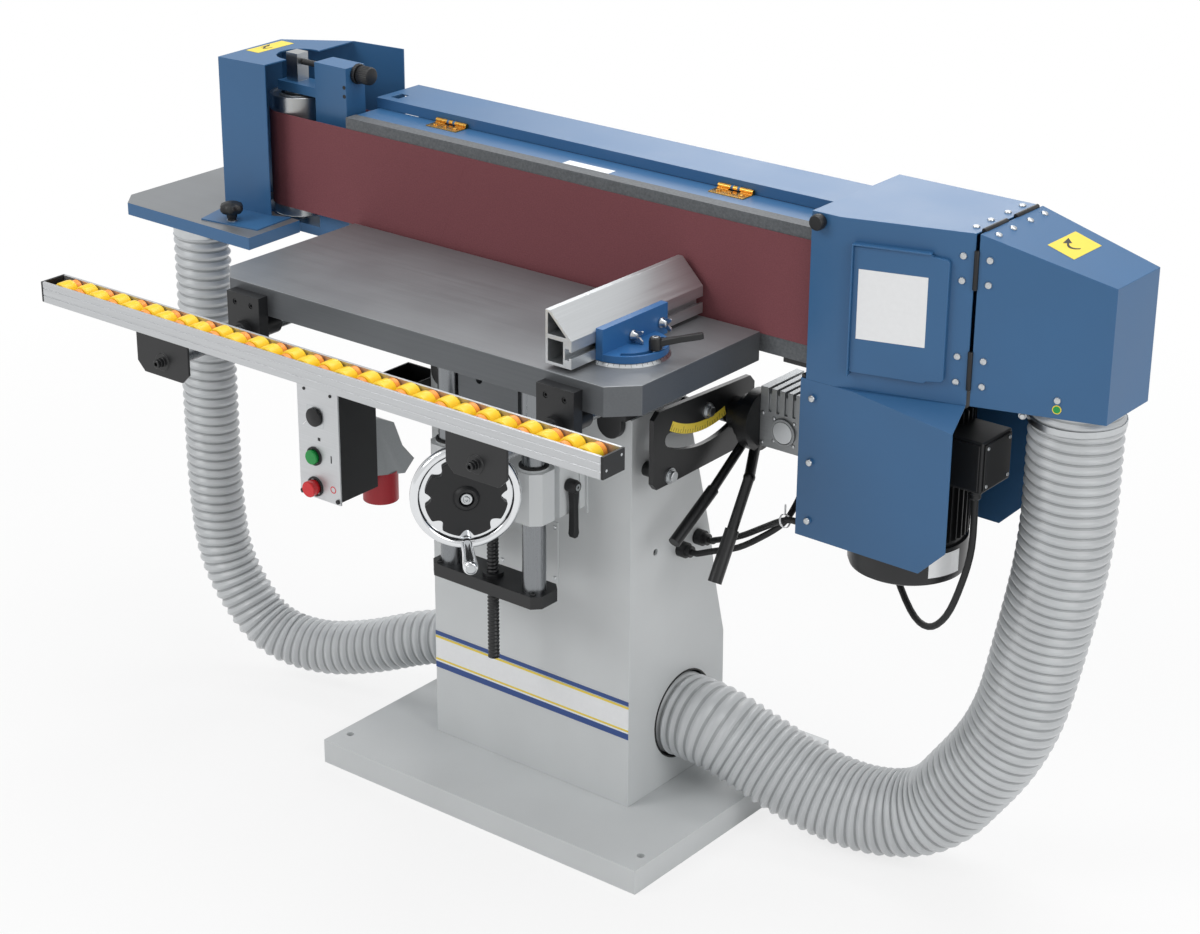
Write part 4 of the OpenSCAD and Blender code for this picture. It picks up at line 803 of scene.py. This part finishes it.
class SANDER_OT_handwheel(bpy.types.Operator):
    """Add the chromed handwheel with its lobed plate and revolving grip"""

    bl_idname = "sander.handwheel"
    bl_label = "Handwheel"

    def execute(self, context):
        def at(s):
            """A point of the shaft's axis, s out from its foot."""
            return SHAFT_FOOT + SHAFT * s

        rim_middle, plate_back = at(94.3), at(97.3)
        pivot = Vector((0, 0, -73))
        angles = [TURN * k / 20 for k in range(20)]
        wheel = Shape().turned([(72.4 + 7.5 * math.cos(a), 8.9 * math.sin(a)) for a in angles],
                               rim_middle, SHAFT, 96, True)
        wheel.turned([(17, -20), (19, -18), (19.5, -6), (24, -3.2), (60, -3.0), (67, -2.0), (67, 2.4),
                      (60, 3.0), (0, 3.0)], rim_middle, SHAFT, 96)
        wheel.pin(at(-20), SHAFT, 8.0, 96, 0.5).pin(at(-12), SHAFT, 14.4, 24, 1.0)
        wheel.pin(at(96) + pivot, SHAFT, 4.0, 88, 0.3)
        wheel.done("chromed_wheel", "wheel", ["chrome"], ("handwheel",))

        outline = []
        for k in range(192):
            a = TURN * k / 192
            # Eight finger scallops, with the grip's own at the bottom
            dip = max(0.0, math.cos(8 * a) - 0.25) / 0.75
            reach = 59.5 - 10.0 * dip ** 0.75
            outline.append((reach * math.cos(a), reach * math.sin(a)))
        plate = Shape().slab(outline, plate_back, UP.cross(SHAFT), UP, 7.0)
        plate.turned([(20, 6.5), (18.5, 8.5), (15, 12.5), (12.5, 12.8), (11.0, 12.2), (9.6, 7.0), (0, 7.0)],
                     plate_back, SHAFT, 64)
        plate.done("lobed_plate", "wheel", ["abs"], ("handwheel_hub",), 1.6)
        bolt = Shape().turned([(8.4, 5.0), (8.4, 10.2), (7.8, 10.8), (5.4, 10.8), (5.2, 9.8)],
                              plate_back, SHAFT, 40)
        bolt.turned([(4.6, 9.8), (4.6, 12.6), (4.1, 13.2), (2.5, 13.2), (2.4, 10.6), (0, 10.6)],
                    plate_back, SHAFT, 32)
        bolt.done("wheel_bolt", "wheel", ["zinc"])
        ferrule = Shape().turned([(9.0, 0), (9.0, 2), (7.5, 4), (6.2, 7)], at(97.0) + pivot, SHAFT, 32)
        ferrule.done("grip_ferrule", "wheel", ["chrome"])
        grip = Shape().turned(
            [(7.0, 0), (8.4, 1.2), (8.8, 8), (8.6, 22), (9.6, 42), (10.8, 62), (10.9, 72), (10.2, 77.0),
             (8.6, 79.4), (7.6, 80.0), (7.2, 78.6), (4.05, 78.6), (4.05, 0)],
            at(103.6) + pivot, SHAFT, 48, True)
        grip.done("revolving_grip", "grip", ["chrome"], ("wheel_grip",))
        cap = Shape().turned([(6.6, 0), (6.6, 1.2), (5.8, 2.0), (0, 2.0)], at(182.3) + pivot, SHAFT, 32)
        cap.done("grip_cap", "wheel", ["zinc"])
        return {"FINISHED"}


class SANDER_OT_table(bpy.types.Operator):
    """Dress the ground table and its brackets"""

    bl_idname = "sander.table"
    bl_label = "Table"

    def execute(self, context):
        dress("table", ["iron", "iron_top"], 1.4, lambda c, n: n.z > 0.9 and c.z > TABLE_TOP - 1)
        dress("rail_brackets", ["black"], 1.4)
        screws = Shape()
        for x in HANGER_X:
            for dx in (-16, 16):
                screws.turned([(4.3, 0), (4.3, -3.0), (3.8, -3.6), (2.3, -3.6), (2.2, -1.2), (0, -1.2)],
                              (x + dx, -357, 794), BACK, 24)
            screws.button_head((x + 10, -361.5, 736), FRONT, 3.2)
        screws.done("bracket_screws", "table", ["black"])
        return {"FINISHED"}


class SANDER_OT_rail(bpy.types.Operator):
    """Add the roller rail with its rollers, caps and hangers"""

    bl_idname = "sander.rail"
    bl_label = "Roller rail"

    def execute(self, context):
        x0, length, y0, y1, z0, z1 = -571, 1028, -523.5, -479.5, 786.0, 817.0
        wall, floor, cap = 4, 2.2, 4
        outline = [(y0, z0), (y1, z0), (y1, z1), (y1 - wall, z1), (y1 - wall, z0 + floor),
                   (y0 + wall, z0 + floor), (y0 + wall, z1), (y0, z1)]
        # Two fine grooves run along the front face
        for z in (807.5, 796.5):
            outline += [(y0, z + 0.7), (y0 + 0.9, z + 0.5), (y0 + 0.9, z - 0.5), (y0, z - 0.7)]
        rail = Shape().slab(outline, (x0, 0, 0), BACK, UP, length)
        rail.done("extruded_rail", "rail", ["rail_aluminium"], ("roller_rail",), 0.35)

        caps, heads = Shape(), Shape()
        for low, out in ((x0 - cap, -1), (x0 + length, 1)):
            caps.block((low, y0 + 0.1, z0 + 0.1), (low + cap, y1 - 0.1, z1 - 0.1))
            face = low if out < 0 else low + cap
            for y, z in ((y0 + 7, 797), (y1 - 7, 809)):
                heads.turned([(2.4, -0.6), (2.4, 0.0), (1.8, 0.4), (0, 0.4)], (face - 0.3 * out, y, z),
                             RIGHT * out, 16)
        caps.done("rail_caps", "rail", ["abs"], ("rail_end_caps",), 0.8)
        heads.done("rail_cap_screws", "rail", ["zinc"])

        count, spacing, axle_z = 29, 34.5, 804.5
        rollers = Shape()
        for i in range(count):
            x = x0 + (length - (count - 1) * spacing) / 2 + i * spacing
            # Every second roller stands back, with its hub in front
            roller_y, hub_y = (14.2, 5.2) if i % 2 else (5.2, 29.6)
            rollers.finish = 0
            rollers.turned([(9.0, 0), (13.4, 0.6), (15.0, 2.2), (15.45, 5), (15.45, 18.5), (15.0, 21.5),
                            (13.4, 23.6), (9.0, 24.3)], (x, y0 + roller_y, axle_z), BACK, 40)
            # The hubs take the orange copy, as painted shade beside the yellow rollers
            rollers.finish = 1
            rollers.turned([(8.0, 0), (12.6, 0.4), (12.6, 8.0), (8.0, 8.4)],
                           (x, y0 + hub_y, axle_z), BACK, 32)
            rollers.turned([(2.4, 0), (2.4, 35.4)], (x, y0 + 4.3, axle_z), BACK, 12)
        rollers.done("moulded_rollers", "rail", ["roller", "roller_hub_painted_shade"], ("rail_rollers",))

        # Only the rods behind the plates are bright
        dress("rail_hangers", ["black", "bright"], 1.2, lambda c, n: c.y > -512 and c.z < 765)
        screws = Shape()
        for x in HANGER_X:
            screws.turned([(6.0, 0), (6.0, 4.4), (5.2, 5.0), (3.0, 5.0), (2.9, 1.6), (0, 1.6)],
                          (x, -528.5, 751), FRONT, 24)
        screws.done("hanger_screws", "rail", ["black"])
        return {"FINISHED"}


class SANDER_OT_fence(bpy.types.Operator):
    """Add the mitre base, its head, the fence and their fasteners"""

    bl_idname = "sander.fence"
    bl_label = "Mitre fence"

    def execute(self, context):
        base = Shape()
        chord, steps = -16.0, 64
        low, high = [], []
        for r, ring, lift in ((62.0, low, 0), (57.5, high, 5)):
            reach = math.acos(chord / r)
            for k in range(steps + 1):
                a = -reach + 2 * reach * k / steps
                ring.append(base.point(MITRE + Vector((r * math.cos(a), r * math.sin(a), lift))))
        base.face(reversed(low))
        base.face(high)
        base.wall(low, high)
        base.pin(MITRE + UP * 4, UP, 5.0, 17, 0.5)
        base.done("graduated_base", "table", ["zinc"], ("mitre_base",), 0.5)
        marks = Shape()
        for k in range(-12, 13):
            out = heading(math.radians(k * 7.5))
            side = beside(out)
            lean = Vector((out.x * 4.5, out.y * 4.5, -5)).normalized()
            long = 3.6 if k % 2 else 5.4
            marks.slab(oblong(0.5, -0.25, long, 0.25), MITRE + out * 57.6 + UP * 5 + lean.cross(side) * -0.04,
                       lean, side, 0.14)
        marks.done("degree_marks", "table", ["dark_print"])
        dress("mitre_head", ["cast_blue"], 1.3)
        dress("fence", ["fence_aluminium"], 0.3)

        for end, y in (("front", -218.5), ("rear", -154.5)):
            wing = Shape().turned([(7.4, 0), (7.4, 2), (5.6, 4), (4.8, 9.6), (3.4, 10.4)],
                                  (269.4, y, WING_BOLT_Z), RIGHT, 28)
            for s in (-1, 1):
                wing.slab([(0, 1.5 * s), (12, 1.0 * s), (17.4, 5.0 * s), (18.0, 8.4 * s), (15.2, 9.0 * s),
                           (10, 7.6 * s), (2, 6.4 * s)],
                          (269.8, y - 1.4 * s, WING_BOLT_Z), RIGHT, UP, -2.8 * s)
            wing.pin((247.2, y, WING_BOLT_Z), RIGHT, 3.9, 24, 0.3)
            wing.pin((247.1, y, WING_BOLT_Z), RIGHT, 6.9, 4.2, 0.5)
            wing.done(f"wing_bolt_{end}_cast", "wing_" + end, ["zinc"], ("wing_bolt_" + end,), 0.6)

        hub = MITRE_CLAMP + UP * 16
        lever = Shape().turned([(8.4, 0), (9.0, 0.8), (9.0, 12), (7.6, 17.0), (4.4, 17.8)], hub, UP, 32)
        along = Vector((0.70, 0.70, 0.13)).normalized()
        lever.slab([(0, -5.4), (14, -5.6), (34, -3.8), (60, -4.8), (65, -3.4), (66, 0), (65, 3.4), (60, 4.8),
                    (34, 3.8), (14, 5.6), (0, 5.4)], hub + UP * 4.5, along, beside(along), 8.5)
        lever.done("mitre_clamp_lever", "mitre_lever", ["abs"], ("mitre_lever",), 1.3)
        foot = MITRE_CLAMP + UP * 0.5
        stud = Shape().pin(foot, UP, 3.95, 16, 0.3)
        stud.turned([(6.2, 15.0), (6.2, 15.4), (4.4, 15.5)], foot, UP, 24)
        stud.turned([(4.4, 33.2), (4.4, 34.0), (2.2, 34.2), (2.2, 33.4), (0, 33.4)], MITRE_CLAMP, UP, 20)
        stud.done("mitre_clamp_stud", "mitre_lever", ["zinc"])
        return {"FINISHED"}


class SANDER_OT_head(bpy.types.Operator):
    """Dress the belt, the platen, the beam and the rear guard"""

    bl_idname = "sander.head"
    bl_label = "Belt head"

    def execute(self, context):
        dress("belt", ["belt"])
        splice = Shape().slab([(0, 0), (7, 0), (67, 150), (60, 150)], (-250, -33.5, 814), RIGHT, UP, 0.15)
        splice.done("belt_splice", "head", ["belt"])
        paint_node("drive_drum", "steel")
        dress("platen", ["graphite"], 0.6)
        canvas = Shape().block((-430, -31.6, 980), (430, -9, 981.2))
        canvas.done("platen_canvas_fold", "head", ["graphite"], edge=0.5)
        dress("head_beam", ["blue"], 0.9)
        Shape().block((-24, -7, 980), (60, 10, 980.5)).done("bare_plate", "head", ["white_vinyl"])
        dress("rear_guard", ["blue"], 0.5)
        dress("guard_hinges", ["brass"], 0.25)
        leaves = Shape()
        for x in (-278, 250):
            for k in range(-2, 3):
                leaves.turned([(3.62, 0), (3.62, 7.2)], (x + k * 11.6 - 3.6, 40.7, 984.5), RIGHT, 20)
            for d in (-20, 0, 20):
                leaves.button_head((x + d, 24.7, 981.6), UP, 3.2)
        leaves.done("hinge_knuckles", "head", ["brass"])
        dress("trunnions", ["black"], 1.6)
        return {"FINISHED"}


def arrow_plate(name, corners):
    """A yellow plate with a plain bent arrow, on the head's face between four corners."""
    lift, ink = 0.3, 0.15
    a, b, _, d = [Vector(p) for p in corners]
    across, up = (b - a), (d - a)
    away = across.cross(up).normalized()
    width, height = across.length, up.length
    u = across.normalized()
    v = away.cross(u)
    plate = Shape().slab(oblong(0, 0, width, height), a + away * 0.05, u, v, lift)
    plate.done(name, "head", ["yellow_vinyl"], edge=0.1)
    centre = a + u * width / 2 + v * (height * 0.92) + away * (lift + 0.05)
    arc = []
    for k in range(13):
        t = math.radians(228 + 84 * k / 12)
        arc.append((width * 0.36 * math.cos(t), height * 0.62 * math.sin(t)))
    shaft = arc + [(x * 0.9, y * 0.9 + height * 0.01) for x, y in reversed(arc)]
    x, y = arc[0]
    point = [(x - width * 0.14, y + height * 0.17), (x - width * 0.05, y - height * 0.12),
             (x + width * 0.12, y + height * 0.06)]
    arrow = Shape().slab(shaft, centre, u, v, ink).slab(point, centre + away * 0.02, u, v, ink)
    arrow.done(name + "_arrow", "head", ["dark_print"])


class SANDER_OT_idle_end(bpy.types.Operator):
    """Dress the idle drum, its bracket, its cover and the side table"""

    bl_idname = "sander.idle_end"
    bl_label = "Idle end"

    def execute(self, context):
        dress("idle_cover", ["blue"], 0.5)
        arrow_plate("idle_arrow_plate", [(x, y, 1047) for x, y in oblong(-653, -19, -626, 60)])
        dress("small_table", ["blue", "iron_top"], 1.2, lambda c, n: n.z > 0.9 and c.z > 803)

        def on_axle(c, n):
            """Whether a face of the bracket belongs to the bare axle."""
            ends = c.z > 1008.5 or 785 < c.z < 993
            return ends and (Vector((c.x, c.y, 0)) - IDLE).length < 17.5

        dress("idle_bracket", ["blue", "steel"], 1.4, on_axle)
        dress("idle_drum", ["steel"], 1.2)
        bearing = Shape()
        race, seal = range(2)
        for finish, high, low, r0, r1 in ((race, 989.0, 986.5, 27, 31), (seal, 988.6, 986.4, 17.5, 27),
                                          (race, 989.2, 986.5, 12.8, 17.5)):
            bearing.finish = finish
            bearing.turned(oblong(r0, 0, r1, high - low), IDLE + UP * low, UP, 48, True)
        bearing.done("drum_bearing", "idle_drum", ["zinc", "rubber"])

        knob = Shape().turned([(4.0, 0), (4.0, 30)], STAR_KNOB + UP * 788.5, UP, 20)
        knob.turned([(7.0, 0), (7.0, 3.5), (5.6, 5.2), (5.6, 6.5)], STAR_KNOB + UP * 806.5, UP, 28)
        knob.turned([(8.0, 0), (8.6, 5.0), (15.5, 7.4), (19.2, 12.0), (19.6, 15.5), (17.5, 20.5),
                     (11.0, 23.4), (0, 24.0)], STAR_KNOB + UP * 811.5, UP, 72,
                    warp=lambda a, h: -2.6 * (0.5 + 0.5 * math.cos(6 * a)) if 6 < h < 21 else 0.0)
        knob.done("cover_star_knob", "idle_knob", ["abs"], ("idle_cover_knob",))
        washer = Shape().turned(oblong(4.3, 0, 8.6, 0.9), STAR_KNOB + UP * 806.05, UP, 28, True)
        washer.done("star_knob_washer", "head", ["zinc"])

        def thread(a, h):
            """How far the thread of 2.5 mm pitch cuts in, at an angle and a height."""
            return -0.6 * (0.5 - 0.5 * math.cos(TURN * (h / 2.5 - a / TURN)))

        def knurl(a, h):
            """The ribs round the knob and its lock ring."""
            return 0.35 * math.cos(30 * a)

        rod = Shape().turned([(4.2, 0)] + [(4.9, 1 + 0.5 * i) for i in range(234)] + [(4.9, 119)],
                             TRACKING - RIGHT * 560.6, RIGHT, 16, warp=thread)
        rod.turned([(14.6, 0), (15.6, 0.9), (15.6, 5.4), (14.6, 6.4)], TRACKING - RIGHT * 445.6, RIGHT, 90,
                   warp=knurl)
        rod.turned([(12.4, 0), (13.6, 1.6), (13.6, 20.5), (12.6, 23.0), (8.0, 24.5), (0, 24.7)],
                   TRACKING - RIGHT * 438.4, RIGHT, 90, warp=knurl)
        rod.done("tracking_screw", "tracking", ["abs"], ("tracking_knob",))
        holes = Shape()
        for z in (1020, 1006):
            holes.turned([(3.0, 0), (3.0, 0.5), (2.2, 0.5), (2.2, 0.1), (0, 0.1)], (-450, -12, z), FRONT, 20)
        holes.done("bracket_grub_screws", "head", ["dark_print"])
        return {"FINISHED"}


def slanted(x, z, out=0.0):
    """A point on the slanted front of the drive and end covers, in millimetres."""
    return Vector((x, -43.5 + COVER_LEAN * (x - 480), z)) + COVER_AWAY * out


class SANDER_OT_covers(bpy.types.Operator):
    """Dress the drive and end covers with their door, hinges and plates"""

    bl_idname = "sander.covers"
    bl_label = "Drive covers"

    def execute(self, context):
        dress("drive_cover", ["blue"], 0.7)
        dress("end_cover", ["blue"], 0.7)
        door = Shape().slab(
            [(0, 2), (104, 0), (108, 3), (128, 5), (131, 8), (131, 172), (128, 176), (108, 178), (104, 182),
             (0, 180)], slanted(500, 795), COVER_ALONG, UP, 7.0)
        door.done("hatch", "head", ["blue"], edge=1.6)
        lip = Shape().slab(oblong(0, 0, 2.2, 186), slanted(498.5, 792), COVER_ALONG, UP, 12.0)
        lip.slab(oblong(0, 0, 108, 2.2), slanted(498.5, 976), COVER_ALONG, UP, 10.5)
        lip.done("hatch_lip", "head", ["blue"], edge=0.6)
        plate = Shape().slab(oblong(0, 0, 95, 98), slanted(508, 846, 7.0), COVER_ALONG, UP, 0.5)
        plate.done("bare_hatch_plate", "head", ["white_vinyl"], edge=0.15)
        barrels = Shape()
        for place, axis, long in (
                (slanted(COVER_SEAM, 933, 0.4), UP, 54), (slanted(COVER_SEAM, 793, 0.4), UP, 54),
                ((COVER_SEAM, 23.5, COVER_TOP + 0.4), BACK, 58), ((COVER_SEAM, 104.5, COVER_TOP + 0.4), BACK, 58)):
            barrels.turned([(3.2, 0), (3.6, 0.8), (3.6, long - 0.8), (3.2, long)], place, axis, 20)
        barrels.done("seam_hinges", "head", ["abs"], ("cover_connectors",))
        heads = Shape()
        for z in (978, 944, 838, 802):
            for side, drop in ((-17, 0), (17, 2)):
                heads.button_head(slanted(COVER_SEAM + side, z - drop, 0.1), COVER_AWAY, 5.0)
        for y in (33, 70, 114, 152):
            heads.button_head((COVER_SEAM - 17, y, COVER_TOP + 0.1), UP, 5.0)
            heads.button_head((COVER_SEAM + 17, y, COVER_TOP + 0.1 - 14.5 * END_DROP / END_RUN),
                              (END_DROP, 0, END_RUN), 5.0)
        heads.button_head(slanted(772, 796, 0.1), COVER_AWAY, 5.0).done("cover_screws", "head", ["zinc"])
        earth = Shape().turned([(6.2, 0), (6.2, 0.4), (0, 0.4)], slanted(772, 783, 0.05), COVER_AWAY, 32)
        earth.finish = 1
        earth.turned([(4.9, 0), (4.9, 0.55), (0, 0.55)], slanted(772, 783, 0.05), COVER_AWAY, 32)
        earth.done("earth_spot", "head", ["yellow_vinyl", "green"])
        arrow_plate("end_arrow_plate", [(x, y, COVER_TOP - (x - 660) * END_DROP / END_RUN)
                                        for x, y in oblong(723, 76, 763, 150)])
        knob = Shape().turned([(4.0, 0), (4.0, 12)], (448, -35.6, 998), FRONT, 20)
        knob.turned([(9.0, 0), (10.6, 1.0), (11.0, 5.0), (11.0, 10.5), (9.6, 13.0), (0, 14.0)],
                    (448, -43.9, 998), FRONT, 64,
                    warp=lambda a, h: 0.25 * math.cos(24 * a) if 2 < h < 12 else 0.0)
        knob.done("cover_knurled_knob", "cover_knob", ["abs"], ("cover_knob",))
        return {"FINISHED"}


class SANDER_OT_motor(bpy.types.Operator):
    """Add the finned motor, its cover and its gearbox"""

    bl_idname = "sander.motor"
    bl_label = "Motor"

    def execute(self, context):
        motor = Shape().turned(
            [(60, 485.5), (76, 485.5), (82, 489), (84.4, 496), (84.4, 540), (79, 541), (77.5, 548),
             (77.5, 740), (83.6, 744), (84.2, 746), (84.2, 774.6), (60, 774.6)], DRIVE, UP, 96)
        fins, fin = 44, 1.8
        for k in range(fins):
            out = heading(TURN * k / fins)
            motor.slab([(76, 545), (84.6, 549), (84.6, 738), (76, 742)], DRIVE - beside(out) * (fin / 2),
                       out, UP, -fin)
        for r in (26, 38, 50):
            motor.turned(oblong(r, 484.9, r + 6, 486.5), DRIVE, UP, 64, True)
        motor.done("finned_motor", "head", ["black"], ("motor",))
        Shape().block((614, 13, 646), (684, 90, 721)).done("terminal_box", "head", ["abs"], edge=3.0)
        lid = Shape().block((620, 10.6, 650), (680, 13.4, 717)).block((684, 18, 650), (686.2, 86, 717))
        lid.done("terminal_lid", "head", ["abs"], edge=1.2)
        screw_heads("terminal_lid_screws", "head", "zinc",
                    [(686.2, y, z) for y in (24, 80) for z in (656, 711)], RIGHT, 2.8)
        gland = Shape().turned([(9.6, 0), (9.6, 4), (8.4, 5), (8.4, 11), (6.2, 14)],
                               (669, 26.5, 646), DOWN, 12)
        gland.done("motor_gland", "head", ["abs"], edge=0.5)
        label = Shape()
        for k in range(6):
            p, q = (heading(math.radians(-38) + math.radians(6 * j)) for j in (k, k + 1))
            label.slab(oblong(0, 0, (q - p).length * MOTOR_RADIUS, 34), DRIVE + p * MOTOR_RADIUS + UP * 500,
                       q - p, UP, 0.4)
        label.done("bare_motor_plate", "head", ["white_vinyl"])
        dress("motor_cover", ["blue"], 0.5)
        lip = Shape().slab([(478, -43.4), (511, -43.4), (655, 9.0), (650, 9.5)],
                           (0, 0, 769.0), RIGHT, BACK, 0.9)
        lip.done("motor_cover_lip", "head", ["blue"])
        screw_heads("motor_cover_screws", "head", "zinc",
                    [(447, -46.4, z) for z in (745, 650, 562)], FRONT, 5.2)
        dress("head_frame", ["black"], 0.8)
        dress("gearbox", ["cast_aluminium"], 0.9)
        x, y, z = 327, 66.4, 628
        trim = Shape().turned([(16.4, 0), (16.4, 0.8), (0, 0.8)], (x, y - 3, z), FRONT, 40)
        for k in range(4):
            a = math.radians(45 + 90 * k)
            trim.button_head((x + 24.5 * math.cos(a), y, z + 24.5 * math.sin(a)), FRONT, 3.0)
        for dx in (-37, 37):
            for dz in (-24, 22):
                trim.button_head((x + dx, y, z + dz), FRONT, 3.4)
        trim.done("gearbox_cap", "head", ["zinc"])
        return {"FINISHED"}


class SANDER_OT_tilt_lock(bpy.types.Operator):
    """Dress the quadrant with its scale, the lock boss and both handles"""

    bl_idname = "sander.tilt_lock"
    bl_label = "Tilt lock"

    def execute(self, context):
        def on_washer(c, n):
            """Whether a face of the quadrant plate belongs to one of its bolts' washers."""
            near = min((c - Vector((c.x, y, z))).length for y, z in QUADRANT_BOLTS)
            return near < 12.5 and c.x > QUADRANT_FRONT + 0.2

        def arc(r, degrees):
            """A point (y, z) of the scale, at a radius and an angle from straight down."""
            a = math.radians(degrees)
            return TILT.y + r * math.sin(a), TILT.z - r * math.cos(a)

        dress("quadrant_plate", ["black", "zinc"], 0.9, on_washer)
        bolts = Shape()
        for y, z in QUADRANT_BOLTS:
            bolts.hexagon_head((236, y, z), RIGHT, 8.0, 5.4)
        bolts.done("quadrant_bolts", "frame", ["zinc"], edge=0.4)
        steps = [-30 + 46 * k / 24 for k in range(25)]
        scale = Shape().slab([arc(175.5, d) for d in steps] + [arc(161, d) for d in reversed(steps)],
                             (QUADRANT_FRONT, 0, 0), BACK, UP, 0.18)
        scale.finish = 1
        for k in range(23):
            d = -29 + 2 * k
            inner = 169.0 if k % 5 else 165.0
            mark = [arc(r, d + side) for side, r in oblong(-0.12, 174.6, 0.12, inner)]
            scale.slab(mark, (QUADRANT_FRONT + 0.16, 0, 0), BACK, UP, 0.08)
        scale.done("tilt_scale", "frame", ["yellow_vinyl", "dark_print"])
        dress("lock_boss", ["black"], 0.8)
        dress("lock_lever", ["black"], 0.8)
        return {"FINISHED"}


class SANDER_OT_controls(bpy.types.Operator):
    """Add the control box with its switch, buttons and plug inlet"""

    bl_idname = "sander.controls"
    bl_label = "Controls"

    def execute(self, context):
        dress("control_box", ["abs"], 1.2)
        dress("control_panel", ["panel_aluminium"], 0.5)
        screws = Shape()
        for x, z in ((-350, 634), (-276, 634), (-350, 453), (-276, 453)):
            screws.pin((x, PANEL_FRONT + 0.2, z), FRONT, 3.6, 3.4, 0.8, 20)
        for x in (-340, -286):
            screws.pin((x, PANEL_FRONT + 0.2, 622), FRONT, 2.6, 1.6, 0.4, 16)
        screws.done("panel_screws", "frame", ["abs"])

        at = Vector((-319, PANEL_FRONT, 581))
        corners = [(-17, -15), (-15, -17), (15, -17), (17, -15), (17, 15), (15, 17), (-15, 17), (-17, 15)]
        Shape().slab(corners, at + FRONT * 0.05, RIGHT, UP, 0.22).done("switch_plate", "frame", ["zinc"])
        knob = Shape().turned([(5.9, 3.0), (5.9, -0.2), (13.4, -0.4), (14.8, -1.6), (14.8, -4.6),
                               (13.0, -5.8), (0, -6.0)], at, BACK, 48)
        # The switch stands an eighth of a turn on
        lean, cross = RIGHT + UP, RIGHT - UP
        knob.slab([(-14.4, -5.5), (11, -5.5), (14.4, 0), (11, 5.5), (-14.4, 5.5)], at + FRONT * 5.5,
                  -lean, cross, -12.2)
        knob.done("rotary_knob", "rotary", ["abs"], ("rotary_switch",), 0.7)
        line = Shape().slab(oblong(2, -0.7, 12.5, 0.7), at + FRONT * 17.6, -lean, cross, -0.25)
        line.done("rotary_pointer", "rotary", ["white_vinyl"])

        for colour, z, r, out in (("green", 516, 12.0, 6.0), ("red", 466, 13.0, 14.0)):
            name = colour + "_button"
            here = Vector((BUTTON_X, PANEL_FRONT, z))
            cap = Shape().turned(
                [(10.4, 0.4), (10.4, 3.4), (r - 1.0, 3.6), (r - 0.6, 4.4), (r - 0.2, 1.5 + out),
                 (r - 1.2, 3.1 + out), (0, 3.4 + out)], here, FRONT, 48)
            cap.done(name + "_cap", colour, [colour], (name,))
            collar = Shape().turned(
                [(r + 0.2, 0), (r + 3.0, 0), (r + 3.0, 2.0), (r + 2.2, 3.0), (r + 0.2, 3.0)],
                here, FRONT, 48, True)
            collar.done(name + "_collar", "frame", ["abs"])

        ink = PANEL_FRONT - 0.02
        marks = Shape().slab(oblong(-1.1, -6, 1.1, 6), (-288, ink, 519), RIGHT, UP, 0.2)
        marks.slab(oblong(-2.6, -2.6, 2.6, 2.6), (-312, ink, 546), RIGHT, UP, 0.2)
        marks.finish = 1
        marks.turned(oblong(4.2, 0, 5.8, 0.22), (-286, PANEL_FRONT, 470), FRONT, 40, True)
        marks.done("start_stop_marks", "frame", ["dark_print", "red"])

        def inlet_part(c, n):
            """The steel pins, the red shroud round them, or the grey body."""
            out = math.hypot(c.x - INLET_X, c.y - INLET_Y)
            if out < 17 and c.z < 451.5 and abs(n.z) < 0.5:
                return 2
            return 1 if out < 29 and c.z < 459 else 0

        dress("power_inlet", ["grey_abs", "red_abs", "zinc"], 0.9, inlet_part)
        return {"FINISHED"}


class SANDER_PT_panel(bpy.types.Panel):
    """Lists the groups of the sander in the sidebar"""

    bl_idname = "SANDER_PT_panel"
    bl_label = "Edge sander"
    bl_space_type = "VIEW_3D"
    bl_region_type = "UI"
    bl_category = "Sander"

    def draw(self, context):
        for name in STEPS:
            self.layout.operator("sander." + name)
        for group in (context.scene.sander_colours, context.scene.sander_sizes):
            for key in group.__annotations__:
                self.layout.prop(group, key)


STEPS = ("materials", "stage", "leads", "hoses", "column", "lift", "handwheel", "table", "rail", "fence",
         "head", "idle_end", "covers", "motor", "tilt_lock", "controls")
CLASSES = (SanderColours, SanderSizes, SANDER_OT_materials, SANDER_OT_stage, SANDER_OT_leads,
           SANDER_OT_hoses, SANDER_OT_column, SANDER_OT_lift, SANDER_OT_handwheel, SANDER_OT_table,
           SANDER_OT_rail, SANDER_OT_fence, SANDER_OT_head, SANDER_OT_idle_end, SANDER_OT_covers,
           SANDER_OT_motor, SANDER_OT_tilt_lock, SANDER_OT_controls, SANDER_PT_panel)


def register():
    for one in CLASSES:
        bpy.utils.register_class(one)
    bpy.types.Scene.sander_colours = PointerProperty(type=SanderColours)
    bpy.types.Scene.sander_sizes = PointerProperty(type=SanderSizes)


def unregister():
    del bpy.types.Scene.sander_sizes
    del bpy.types.Scene.sander_colours
    for one in reversed(CLASSES):
        bpy.utils.unregister_class(one)


def main():
    """Registers the add-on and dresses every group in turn."""
    register()
    for name in STEPS:
        getattr(bpy.ops.sander, name)()


if __name__ == "__main__":
    main()
